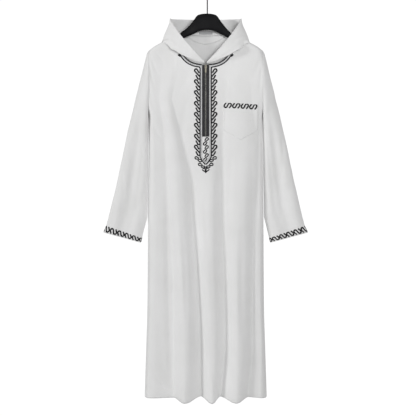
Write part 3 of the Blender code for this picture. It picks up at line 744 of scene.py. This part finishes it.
def sheet_object(name, grid, lift, look, thick=1.2, closed=False, kept=None):
    """A thin sheet whose outer face is the grid, with its thickness on the side away from lift."""
    rows, columns = grid.shape[:2]
    made = mesh_object(name, grid, grid_faces(rows, columns, closed, kept))
    ways = lift.reshape(-1, 3)
    outward = [face.area * face.normal.dot(Vector(ways[face.vertices[0]])) for face in made.data.polygons]
    if sum(outward) < 0:
        made.data.flip_normals()
    drop_loose(made)
    solid = made.modifiers.new("cloth", "SOLIDIFY")
    solid.thickness = thick * MM
    solid.offset = -1
    solid.use_even_offset = False
    made.data.materials.append(look)
    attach(made, "robe")
    return made


def drop_loose(made):
    """Removes the points that no face uses."""
    used = set()
    for face in made.data.polygons:
        used.update(face.vertices)
    if len(used) == len(made.data.vertices):
        return
    work = bmesh.new()
    work.from_mesh(made.data)
    bmesh.ops.delete(work, geom=[v for v in work.verts if not v.link_faces], context="VERTS")
    work.to_mesh(made.data)
    work.free()


def tree_of(grid):
    rows, columns = grid.shape[:2]
    return BVHTree.FromPolygons([Vector(p) for p in grid.reshape(-1, 3)], grid_faces(rows, columns))


def front_face(tree, facing=-1):
    """Maps (x, z, height) onto the face of a panel that looks to the front (-1) or to the back (1)."""

    def place(x, z, height):
        hit = tree.ray_cast(Vector((x, 300 * facing, z)), Vector((0, -facing, 0)))
        if hit[0] is None:
            hit = tree.find_nearest(Vector((x, 30 * facing, z)))
            return np.array((hit[0].x, hit[0].y + height * facing, hit[0].z))
        lift = hit[1] if hit[1].y * facing > 0 else -hit[1]
        return np.array((x, hit[0].y, z)) + np.array(lift) * height

    return place


def strand(line, place, wide, high):
    """Points and faces of a flattened thread that follows a line of (x, z) on a sheet."""
    line = np.array(line, float)
    way = np.gradient(line, axis=0)
    way /= np.maximum(np.linalg.norm(way, axis=1, keepdims=True), 1e-9)
    side = np.stack([-way[:, 1], way[:, 0]], axis=1)
    section = ((-0.5, -0.1), (-0.36, 0.7), (0.0, 1.0), (0.36, 0.7), (0.5, -0.1), (0.0, -0.3))
    points = []
    for k, (spot, turn) in enumerate(zip(line, side)):
        narrow = 0.75 if k in (0, len(line) - 1) else 1.0
        for across, height in section:
            x, z = spot + turn * wide * narrow * across
            points.append(place(x, z, THREAD_LIFT + high * narrow * height))
    count = len(section)
    faces = grid_faces(len(line), count, closed=True)
    faces.append(tuple(range(count))[::-1])
    faces.append(tuple(range((len(line) - 1) * count, len(line) * count)))
    return points, faces


def strands(name, lines, place, wide, high, look):
    """One piece made of many threads."""
    points = []
    faces = []
    for line in lines:
        more, rings = strand(line, place, wide, high)
        start = len(points)
        points += more
        faces += [tuple(index + start for index in ring) for ring in rings]
    made = mesh_object(name, points, faces)
    made.data.materials.append(look)
    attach(made, "robe")
    return made


# The chain pattern


def link_line(wide, long):
    """A chain link as (across, down) from its outer top corner: a slanting bar, an open hook at each end."""
    radius = HOOK_SHARE * wide
    centre = np.array((radius, radius))
    middle = np.array((wide / 2, long / 2))
    slant = math.radians(LINK_SLANT)
    half = [middle]
    for turn in range(90, 291, 25):
        angle = slant + math.radians(turn)
        half.append(centre + radius * np.array((math.cos(angle), math.sin(angle))))
    lean = slant + math.radians(LINK_TURN)
    back = np.array((math.cos(lean), math.sin(lean))) * LINK_RETURN * long
    half += [half[-1] + back * share for share in (0.35, 0.7, 1.0)]
    other = [2 * middle - point for point in half[1:]]
    return curve_through([*reversed(other), middle, *half[1:]], 40)


def curl_line(wide, long):
    """A link of the pocket's and the cuffs' chain: a bar across the band that turns back at both ends."""
    lean = math.radians(CURL_LEAN)
    bar = np.array((math.cos(lean), math.sin(lean)))
    side = np.array((-math.sin(lean), math.cos(lean)))
    radius = CURL_SHARE * wide
    centre = bar * (wide / 2 - radius) / math.cos(lean) + side * radius
    half = []
    for turn in range(0, 181, 30):
        angle = math.radians(turn)
        half.append(centre + radius * (math.sin(angle) * bar - math.cos(angle) * side))
    back = bar * CURL_RETURN * wide
    half += [half[-1] - back * share - side * 2.2 * share**2 for share in (0.4, 0.75, 1.0)]
    other = [-point for point in reversed(half)]
    return curve_through([*other, np.zeros(2), *half], 44) + np.array((wide / 2, long / 2))


def chain_lines(start, end, count, wide, shape=link_line, mirrored=False):
    """Links along a band from start to end, each link lying across the band's width."""
    start = np.array(start, float)
    end = np.array(end, float)
    step = (end - start) / count
    period = np.linalg.norm(step)
    way = step / period
    across = np.array((-way[1], way[0])) * (-1 if mirrored else 1)
    base = shape(wide, period * LINK_FILL)
    lines = []
    for k in range(count):
        corner = start + step * (k + 0.02)
        lines.append([corner + way * down + across * (aside - wide / 2) for aside, down in base])
    return lines


def stitch_lines(path, step=STITCH, gap=STITCH_GAP):
    """Short stitches along a path of (x, z)."""
    path = np.array(path, float)
    end = lengths(path)[-1]
    lines = []
    at = 0.0
    while at + step < end:
        lines.append(on_line(path, np.linspace(at, at + step, 4)))
        at += step + gap
    return lines


# Looks


def set_inputs(node, values):
    """Sets a node's inputs, where _ stands for a space in an input's name."""
    for name, value in values.items():
        node.inputs[name.replace("_", " ")].default_value = value


def add_node(tree, kind, **values):
    made = tree.nodes.new("ShaderNode" + kind)
    set_inputs(made, values)
    return made


class Look:
    """A material under construction: its node tree with a few short helpers."""

    def __init__(self, name, rough, **values):
        self.material = bpy.data.materials.new(name)
        self.material.use_nodes = True
        self.tree = self.material.node_tree
        self.shader = self.tree.nodes["Principled BSDF"]
        set_inputs(self.shader, {"Roughness": rough, **values})
        self.place = add_node(self.tree, "TexCoord").outputs["Object"]

    def link(self, source, target):
        self.tree.links.new(source, target)

    def noise(self, scale, detail=3.0, stretch=(1, 1, 1)):
        shift = add_node(self.tree, "Mapping", Scale=stretch)
        self.link(self.place, shift.inputs["Vector"])
        made = add_node(self.tree, "TexNoise", Scale=scale, Detail=detail)
        self.link(shift.outputs["Vector"], made.inputs["Vector"])
        return made.outputs["Fac"]

    def waves(self, scale, direction, wobble=0.6):
        made = add_node(self.tree, "TexWave", Scale=scale, Distortion=wobble, Detail=1.0)
        made.bands_direction = direction
        self.link(self.place, made.inputs["Vector"])
        return made.outputs["Fac"]

    def join(self, how, first, second):
        made = add_node(self.tree, "Math")
        made.operation = how
        self.link(first, made.inputs[0])
        if isinstance(second, float):
            made.inputs[1].default_value = second
        else:
            self.link(second, made.inputs[1])
        return made.outputs["Value"]

    def colours(self, share, dark, light, low=0.3, high=0.7):
        ramp = add_node(self.tree, "ValToRGB")
        stops = ramp.color_ramp.elements
        stops[0].position = low
        stops[1].position = high
        stops[0].color = (*dark, 1)
        stops[1].color = (*light, 1)
        self.link(share, ramp.inputs["Fac"])
        self.link(ramp.outputs["Color"], self.shader.inputs["Base Color"])

    def roughness(self, share, low, high):
        made = add_node(self.tree, "MapRange", To_Min=low, To_Max=high)
        self.link(share, made.inputs["Value"])
        self.link(made.outputs["Result"], self.shader.inputs["Roughness"])

    def bump(self, share, distance, strength=0.5):
        made = add_node(self.tree, "Bump", Strength=strength, Distance=distance)
        self.link(share, made.inputs["Height"])
        self.link(made.outputs["Normal"], self.shader.inputs["Normal"])


def cloth_look(name, dark, light, thread=0.0009):
    """Fine plain weave with slubs and a faint soft bloom."""
    look = Look(name, 0.85, Sheen_Weight=0.12, Sheen_Roughness=0.5)
    scale = 0.314 / thread
    weave = look.join("MULTIPLY", look.waves(scale, "X"), look.waves(scale, "Z"))
    slub = look.noise(240.0, 2.0, (1, 1, 0.12))
    height = look.join("ADD", weave, look.join("MULTIPLY", slub, 0.8))
    look.bump(height, 0.00012, 0.35)
    tone = look.join("ADD", look.noise(9.0), look.join("MULTIPLY", slub, 0.12))
    look.colours(tone, dark, light, 0.25, 0.85)
    look.roughness(look.noise(60.0), 0.78, 0.92)
    return look.material


def thread_look(name, dark, light):
    """Embroidery floss: twisted strands with a slight gloss."""
    look = Look(name, 0.55, Specular_IOR_Level=0.22)
    twist = look.waves(420.0, "DIAGONAL", 0.3)
    look.bump(twist, 0.00015, 0.6)
    look.colours(look.join("ADD", twist, look.noise(400.0)), dark, light, 0.4, 1.4)
    look.roughness(look.noise(300.0), 0.5, 0.75)
    return look.material


def braid_look():
    look = Look("braid_pale", 0.6, Sheen_Weight=0.1)
    plait = look.join("MULTIPLY", look.waves(150.0, "DIAGONAL", 0.2), look.waves(230.0, "Z", 0.2))
    look.bump(plait, 0.0004, 0.8)
    tone = look.join("ADD", plait, look.noise(220.0))
    look.colours(tone, (0.36, 0.37, 0.38), (0.78, 0.78, 0.78), 0.3, 1.2)
    return look.material


def tape_look():
    look = Look("zip_tape_weave", 0.8)
    weave = look.join("MULTIPLY", look.waves(330.0, "DIAGONAL", 0.4), look.waves(500.0, "Z", 0.3))
    look.bump(weave, 0.0002, 0.7)
    tone = look.join("ADD", weave, look.noise(120.0))
    look.colours(tone, (0.016, 0.016, 0.018), (0.05, 0.05, 0.055), 0.4, 1.3)
    return look.material


def metal_look(name, dark, light, low=0.25, high=0.5):
    look = Look(name, 0.35, Metallic=1.0)
    brushed = look.noise(900.0, 3.0, (0.1, 1, 1))
    look.colours(look.join("ADD", look.noise(80.0), brushed), dark, light, 0.7, 1.3)
    look.roughness(brushed, low, high)
    look.bump(brushed, 0.00004, 0.3)
    return look.material


def plastic_look(name, dark, light, low, high):
    """Moulded plastic with a fine grain."""
    look = Look(name, 0.45, Specular_IOR_Level=0.12)
    grain = look.noise(1400.0, 2.0)
    look.bump(grain, 0.00006, 0.35)
    look.colours(look.noise(25.0), dark, light)
    look.roughness(look.noise(40.0), low, high)
    return look.material


# Pieces


def held_edges(rows, columns, side, top):
    """0 at a sheet's sides and top, growing to 1 over these numbers of columns and rows."""
    from_side = np.minimum(np.arange(columns), np.arange(columns)[::-1])[None, :] / side
    from_top = np.arange(rows)[:, None] / top
    return np.clip(np.minimum(from_side, from_top), 0, 1)


def soften(grid, creases, size, facing):
    """Adds creases and faint ripples to a panel along its normals, held still at its edges."""
    x = grid[:, :, 0]
    z = grid[:, :, 2]
    amount = crease_depth(x, z, creases) + ripple(x, z, size)
    amount *= held_edges(*x.shape, 6.0, 14.0)
    return grid + outer_side(grid, facing) * amount[:, :, None]


def make_front(look):
    coarse = panel_grid(FRONT_FOLDS, 32, True, neck_edge, 16, LOWER_ROWS)
    grid, rows, columns = dense(coarse, 6.5, 4.2)
    grid = soften(grid, FRONT_CREASES, 0.45, -1)
    x = grid[:, :, 0]
    above = np.clip((grid[:, :, 2] - SLIT_LOW) / 4 + 1, 0, 1)
    near = np.clip((34 - np.abs(x)) / 24, 0, 1)
    grid[:, :, 0] = x + np.sign(x) * 3.2 * near * above * (np.abs(x) > 9)
    slit_row = next(r for r in range(coarse.shape[0]) if coarse[r, 16, 2] <= SLIT_LOW + 0.01)

    def kept(r, c):
        return not (rows[r + 1] <= slit_row + 1e-6 and 15 - 1e-6 <= columns[c] < 17 - 1e-6)

    made = sheet_object("robe_front", grid, outer_side(grid, -1), look, kept=kept)
    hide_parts("body_front")
    return made, grid


def make_back(look):
    coarse = panel_grid(BACK_FOLDS, 24, False, back_neck, 12, LOWER_ROWS[1::2])
    grid, _, _ = dense(coarse, 7.0, 5.0)
    creases = scattered(11, 26, (-190, -1150), (190, -330), 0.12)
    grid = soften(grid, creases, 0.5, 1)
    made = sheet_object("robe_back", grid, outer_side(grid, 1), look)
    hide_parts("body_back")
    return made, grid


def round_lift(grid):
    """Directions out of a tube."""
    lift = normals_of(grid, closed_columns=True)
    return lift * np.sign((lift * (grid - grid.mean(axis=1, keepdims=True))).sum())


def make_sleeve(side, name, look):
    rings = sleeve_rings(side, 88, 120)
    low = (rings[:, :, 0].min(), -760)
    high = (rings[:, :, 0].max(), -300)
    creases = scattered(21 if side < 0 else 22, 16, low, high, 0.3)
    x = rings[:, :, 0]
    z = rings[:, :, 2]
    wrap = np.where(rings[:, :, 1] < 0, 0.7, 0.56)
    amount = crease_depth(x, z, creases) * wrap + ripple(x * 1.3, z, 0.5)
    hold = np.clip(np.arange(rings.shape[0])[:, None] / 8.0, 0, 1)
    near_body = np.clip((np.abs(x) - side_half(-600) - 3) / 12.0, 0, 1)
    grid = rings + round_lift(rings) * (amount * hold * near_body)[:, :, None]
    made = sheet_object("robe_sleeve_" + name, grid, round_lift(grid), look, closed=True)
    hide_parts("sleeve_" + name)
    return made, grid


def make_hood(side, name, look):
    grid, _, _ = dense(hood_grid(side), 4.0, 4.0)
    lift = -side * normals_of(grid)
    x = grid[:, :, 0]
    z = grid[:, :, 2]
    reach = np.linalg.norm(grid - grid.mean(axis=(0, 1)), axis=2)
    amount = np.abs(ripple(x + reach * 0.3, z, 0.7))
    behind = grid[:, :, 1] > 12
    amount += np.where(behind, crease_depth(x, z, HOOD_BACK_CREASES), crease_depth(x, z, HOOD_CREASES))
    amount *= held_edges(*z.shape[::-1], 8.0, 12.0).T
    grid = grid + lift * amount[:, :, None]
    made = sheet_object("robe_hood_" + name, grid, lift, look)
    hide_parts("hood_" + name)
    return made, grid, -side * normals_of(grid)


def pocket_grid(place):
    def spot(down, across):
        x = POCKET_X + POCKET_WIDE * across
        top = POCKET_TOP - 7.0 * across
        foot = -537.5 - 36.5 * (1 - abs(2 * across - 1))
        swell = 2.2 * math.sin(math.pi * across) * (1 - down) * min(1.0, 0.45 + down)
        return place(x, top + (foot - top) * down, 0.9 + swell)

    return grid_of(np.linspace(0, 1, 61), np.linspace(0, 1, 57), spot)


def main():
    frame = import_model()
    cloth = cloth_look("white_weave", (0.80, 0.80, 0.795), (0.86, 0.86, 0.86))
    hood_cloth = cloth_look("hood_weave", (0.80, 0.80, 0.795), (0.86, 0.86, 0.86))
    black = thread_look("black_floss", (0.004, 0.004, 0.005), (0.018, 0.018, 0.02))
    white_thread = thread_look("white_floss", (0.7, 0.7, 0.7), (0.86, 0.86, 0.86))
    pale = braid_look()
    front, front_grid = make_front(cloth)
    back, back_grid = make_back(cloth)
    sleeves = [make_sleeve(side, name, cloth) for side, name in SIDES]
    hoods = [make_hood(side, name, hood_cloth) for side, name in SIDES]
    on_front = front_face(tree_of(front_grid))
    pieces = make_placket(on_front, black, pale)
    pocket, pocket_parts = make_pocket(on_front, cloth, black, white_thread)
    cuffs = [make_cuff(made[1], name, black, white_thread) for made, (_, name) in zip(sleeves, SIDES)]
    hems = make_hems(on_front, front_face(tree_of(back_grid), 1), white_thread)
    rims = [make_rim(hood, name, white_thread) for hood, (_, name) in zip(hoods, SIDES)]
    tapes = make_zip(frame, on_front)
    make_hanger(frame)
    facing, label, seam = make_neck_inside(front_face(tree_of(back_grid)), cloth, white_thread)
    pieces = [*pieces, hems[0]]
    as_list(pieces)
    pieces = [hems[1]]
    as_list(pieces)
    for (made, _), pieces in zip(sleeves, cuffs):
        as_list(pieces)
    pieces = pocket_parts
    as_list(pieces)
    studio()


def make_placket(place, black, pale):
    """Neck and placket trims, and the chain pattern beside and below the zip."""
    parts = []
    for side, name in SIDES:
        inner = [*neck_line(92, 15, 1.9), (13.6, -295.6)]
        outer = [*neck_line(91, 24, 10.9), (21.4, -305.5), *upright(CORD_X, -311)]
        middle = [*neck_line(91, 17, 6.4), (17.4, -302.5), *upright(BRAID_X, -308)]
        outer += [(14.5, -648.0), (8.0, -658.0), (1.0, -665.5)]
        middle += [(11.5, -645.0), (6.5, -653.5), (2.0, -659.5)]
        cords = [curve_through(mirror(line, side), 190) for line in (inner, outer)]
        end = [(99.0, -254.5), (101.5, -258.0), (97.5, -260.5), (94.5, -264.5)]
        cords.append(curve_through(mirror(end, side), 9))
        cords = strands("trim_cords_" + name, cords, place, CORD, 1.3, black)
        strip = [curve_through(mirror(middle, side), 190)]
        strip = strands("trim_braid_" + name, strip, place, 6.6, 0.9, pale)
        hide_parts("trim_%s_neck" % name)
        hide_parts("trim_%s_placket" % name)
        start = (side * CHAIN_X, CHAIN_TOP)
        end = (side * CHAIN_X, CHAIN_TOP - CHAIN_LINKS * CHAIN_REPEAT)
        chain = chain_lines(start, end, CHAIN_LINKS, 21.0, mirrored=side > 0)
        chain = strands("chain_placket_" + name, chain, place, CHAIN, CHAIN_HIGH, black)
        foot = chain_lines((side * 33.5, -634.0), (side * 8.0, -683.0), 2, 18.0, mirrored=side > 0)
        for line in FOOT_ENDS:
            foot.append(curve_through(mirror(line, side), 9))
        foot = strands("chain_foot_" + name, foot, place, FOOT, CHAIN_HIGH, black)
        parts += [cords, strip, chain, foot]
    lines = chain_lines((0.8, -565.0), (0.8, -655.0), 3, 18.0, mirrored=True)
    lines.append([(0.4, -688.0), (0.4, -693.0), (0.4, -698.0)])
    parts.append(strands("chain_middle", lines, place, FOOT, CHAIN_HIGH, black))
    return parts


def neck_line(start, end, distance):
    return [neck_offset(x, distance) for x in np.linspace(start, end, 60)]


def upright(x, top):
    return [(x, z) for z in np.linspace(top, TRIM_LOW, 80)]


def mirror(line, side):
    return [(side * x, z) for x, z in line]


def make_pocket(place, cloth, black, white):
    grid = pocket_grid(place)
    made = sheet_object("robe_pocket", grid, outer_side(grid, -1), cloth, thick=0.9)
    on_pocket = front_face(tree_of(grid))
    chain = chain_lines((66.5, -444.4), (193.0, -451.0), 4, 21.0, curl_line)
    chain = strands("chain_pocket", chain, on_pocket, CURL, CHAIN_HIGH, black)
    rim = [(68.2, -438), (68.2, -536.5), (129.9, -571.5), (191.6, -537.5), (191.6, -445)]
    seam = strands("stitches_pocket", stitch_lines(rim), on_pocket, 0.7, 0.4, white)
    band = stitch_lines([(68.5, -498.0), (191.0, -503.0)])
    band = strands("stitches_pocket_band", band, on_pocket, 0.7, 0.4, white)
    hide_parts("pocket")
    return made, [chain, seam, band]


def beside_edge(grid, lift, closed):
    """Maps (distance along a sheet's last row, distance in from it, height) onto the sheet."""
    rows, columns = grid.shape[:2]
    low = grid[rows - 5]
    if closed:
        low = np.vstack([low, low[:1]])
    around = lengths(low)
    up = places_of(grid[::-1])

    def place(x, z, height):
        at = np.interp(x % around[-1] if closed else x, around, np.arange(len(around)))
        down = rows - 1 - np.interp(z, up, np.arange(rows))
        c = min(int(at), len(around) - 2)
        r = min(int(down), rows - 2)
        spot = np.zeros(3)
        turn = np.zeros(3)
        for row, row_share in ((r, 1 - down + r), (r + 1, down - r)):
            for column, share in ((c, 1 - at + c), ((c + 1) % columns, at - c)):
                spot += grid[row, column] * row_share * share
                turn += lift[row, column] * row_share * share
        return spot + turn / np.linalg.norm(turn) * height

    return place, around[-1]


def make_cuff(grid, name, black, white):
    """The chain round a cuff and the stitches of its hem."""
    place, around = beside_edge(grid, round_lift(grid), True)
    chain = chain_lines((2.0, 12.8), (around + 2.0, 12.8), 11, 20.0, curl_line, mirrored=name == "right")
    hem = stitch_lines([(x, 2.2) for x in np.linspace(0, around, 40)])
    chain = strands("chain_cuff_" + name, chain, place, CURL, CHAIN_HIGH, black)
    return [chain, strands("stitches_cuff_" + name, hem, place, 0.7, 0.4, white)]


def make_rim(hood, name, white):
    """The line of stitches along the hood's rim."""
    _, grid, lift = hood
    place, length = beside_edge(grid.transpose(1, 0, 2), lift.transpose(1, 0, 2), False)
    line = stitch_lines([(x, 9.0) for x in np.linspace(3, length - 3, 60)])
    return strands("stitches_rim_" + name, line, place, 0.8, 0.45, white)


def make_hems(front, back, white):
    """The stitches above the hem, on the front and on the back."""
    hems = []
    for name, place, folds in (("front", front, FRONT_FOLDS), ("back", back, BACK_FOLDS)):
        path = []
        for share in np.linspace(0.012, 0.988, 120):
            path.append((fold_x(folds, HEM, share), HEM - hem_drop(folds, share) + 11.0))
        hem = stitch_lines(path, 3.4, 2.2)
        hems.append(strands("stitches_hem_" + name, hem, place, 0.8, 0.5, white))
    return hems


def make_zip(frame, place):
    tape = tape_look()
    tapes = []
    for side, name in SIDES:
        downs = np.linspace(ZIP_TOP, ZIP_LOW, 110)
        acrosses = side * np.linspace(0.4, TAPE_WIDE, 9)
        grid = grid_of(downs, acrosses, lambda z, x: place(x, z, -TAPE_DEEP))
        tapes.append(sheet_object("tape_" + name, grid, outer_side(grid, -1), tape, thick=0.8))
        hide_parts("zip_tape_" + name)
    slider = metal_look("slider_metal", (0.12, 0.11, 0.095), (0.22, 0.205, 0.175), 0.45, 0.65)
    pull = metal_look("pull_cream_metal", (0.22, 0.205, 0.165), (0.34, 0.32, 0.26), 0.5, 0.7)
    give(frame["nodes"]["zip_slider"], slider)
    give(frame["nodes"]["zip_pull"], pull)
    teeth = mesh_object("zip_teeth", *zip_teeth(place), smooth=False)
    teeth.data.materials.append(metal_look("zip_teeth_metal", (0.05, 0.05, 0.048), (0.13, 0.13, 0.12)))
    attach(teeth, "robe")
    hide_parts("zip_coil")
    return tapes


def zip_teeth(place):
    """Points and faces of the teeth: blocks that come from the two sides in turn."""
    low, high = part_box("zip_coil")
    box_faces = ((0, 1, 3, 2), (4, 6, 7, 5), (0, 4, 5, 1), (2, 3, 7, 6), (0, 2, 6, 4), (1, 5, 7, 3))
    points = []
    faces = []
    z = high[2] / MM - 1.0
    side = 1
    while z > low[2] / MM + 1.5:
        middle = place(0.0, z, 0.0)[1]
        start = len(points)
        for x in (-2.9, 0.9) if side > 0 else (-0.9, 2.9):
            for y in (middle - 0.3, middle + 1.4):
                points += [(x, y, level) for level in (z - 0.62, z + 0.62)]
        faces += [tuple(index + start for index in face) for face in box_faces]
        z -= TOOTH_STEP
        side = -side
    return points, faces


def give(node, look):
    """Gives a CAD node a material."""
    if not node.material_slots:
        node.data.materials.append(look)
    for slot in node.material_slots:
        slot.material = look


def make_hanger(frame):
    plastic = plastic_look("hanger_black", (0.004, 0.004, 0.005), (0.009, 0.009, 0.01), 0.5, 0.65)
    wire = metal_look("wire_black", (0.015, 0.015, 0.016), (0.05, 0.05, 0.052), 0.3, 0.45)
    give(frame["nodes"]["hanger_body"], plastic)
    give(frame["nodes"]["hanger_hook"], wire)
    for node in ("hanger_body", "hanger_hook"):
        for face in frame["nodes"][node].data.polygons:
            face.use_smooth = True


def make_neck_inside(place, cloth, white):
    """The half-moon facing on the back panel and the blank label on the hood's base above it, whose grey is
    painted shade of the gap under the hanger.
    """
    # the label's grey is painted shade: the dark gap between the hood's base and the hanger
    grey = cloth_look("label_painted_shade", (0.36, 0.37, 0.38), (0.5, 0.5, 0.51), 0.0006)
    lift = CLOTH + 1.6

    def on_facing(down, across):
        x = FACING_HALF * across
        top = back_neck(x) - 4.5
        foot = top - 24.5 * (1 - across * across) - 1.5
        return place(x, top + (foot - top) * down, lift)

    def on_label(z, x):
        base = neck_point(180 - math.degrees(math.asin(abs(x) / NECK_HALF)))[1]
        return x, base - 2.9, z

    grid = grid_of(np.linspace(0.02, 1, 16), np.linspace(-1, 1, 49), on_facing)
    facing = sheet_object("robe_facing", grid, outer_side(grid, -1), cloth, thick=1.0)
    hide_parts("neck_facing")
    path = stitch_lines([(point[0], point[2] + 2.2) for point in grid[-1, 3:-3]])
    seam = strands("stitches_facing", path, lambda x, z, high: place(x, z, lift + high), 0.8, 0.45, white)
    # the grey label sheet stands where the gap under the hanger lies in shade; its grey is painted shade
    grid = grid_of(np.linspace(-161.5, -171.5, 9), np.linspace(-LABEL_HALF, LABEL_HALF, 33), on_label)
    label = sheet_object("robe_label", grid, outer_side(grid, -1), grey, thick=0.7)
    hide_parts("neck_label")
    return facing, label, seam


def set_up(light, place, aim):
    """Puts a light at a place and turns it towards another."""
    made = bpy.data.objects.new(light.name, light)
    made.location = place
    made.rotation_euler = (Vector(aim) - Vector(place)).to_track_quat("-Z", "Y").to_euler()
    bpy.context.scene.collection.objects.link(made)


def area_light(name, place, aim, size, power):
    light = bpy.data.lights.new(name, "AREA")
    light.shape = "RECTANGLE"
    light.size, light.size_y = size
    light.energy = power
    set_up(light, place, aim)


def spot_light(name, place, aim, angle, power):
    light = bpy.data.lights.new(name, "SPOT")
    light.spot_size = math.radians(angle)
    light.spot_blend = 1.0
    light.shadow_soft_size = 0.2
    light.energy = power
    set_up(light, place, aim)


def surround(scene):
    """A white surround behind the robe that fades to a soft grey elsewhere."""
    world = bpy.data.worlds.new("surround")
    world.use_nodes = True
    tree = world.node_tree
    sky = tree.nodes["Background"]
    place = add_node(tree, "TexCoord")
    split = add_node(tree, "SeparateXYZ")
    share = add_node(
        tree, "MapRange", From_Min=0.2, From_Max=0.9, To_Min=SURROUND_LOW, To_Max=SURROUND_WHITE
    )
    share.interpolation_type = "SMOOTHSTEP"
    tree.links.new(place.outputs["Generated"], split.inputs["Vector"])
    tree.links.new(split.outputs["Y"], share.inputs["Value"])
    tree.links.new(share.outputs["Result"], sky.inputs["Strength"])
    set_inputs(sky, {"Color": (1, 1, 1, 1)})
    scene.world = world


def studio():
    """The camera at the photo's view, soft lights from the left and the front, and a plain pale floor."""
    scene = bpy.context.scene
    scene.view_settings.view_transform = "Standard"
    camera = bpy.data.cameras.new("camera")
    camera.sensor_width = SENSOR
    camera.lens = SENSOR * CAMERA_FAR / VIEW_WIDE
    view = bpy.data.objects.new("camera", camera)
    view.location = (0.0026, -CAMERA_FAR, -0.82675)
    view.rotation_euler = (math.pi / 2, 0, 0)
    scene.collection.objects.link(view)
    scene.camera = view
    surround(scene)
    area_light("key", (-4.4, -2.0, 0.4), (0, 0, -0.8), (1.2, 1.6), 92)
    area_light("front", (0.95, -3.2, -0.25), (0.1, 0, -0.6), (0.8, 0.8), 42)
    spot_light("neck", (0.25, -3.2, 0.15), (0, 0, -0.22), 10, 45)
    turns = [2 * math.pi * k / 48 for k in range(48)]
    ring = [(FLOOR_RADIUS * math.cos(turn), FLOOR_RADIUS * math.sin(turn), FLOOR_LEVEL) for turn in turns]
    floor = mesh_object("floor", ring, [tuple(range(len(ring)))], shift=0.0)
    white = Look("floor_white", 0.9)
    white.colours(white.noise(3.0), (0.72, 0.72, 0.72), (0.76, 0.76, 0.76))
    floor.data.materials.append(white.material)


main()
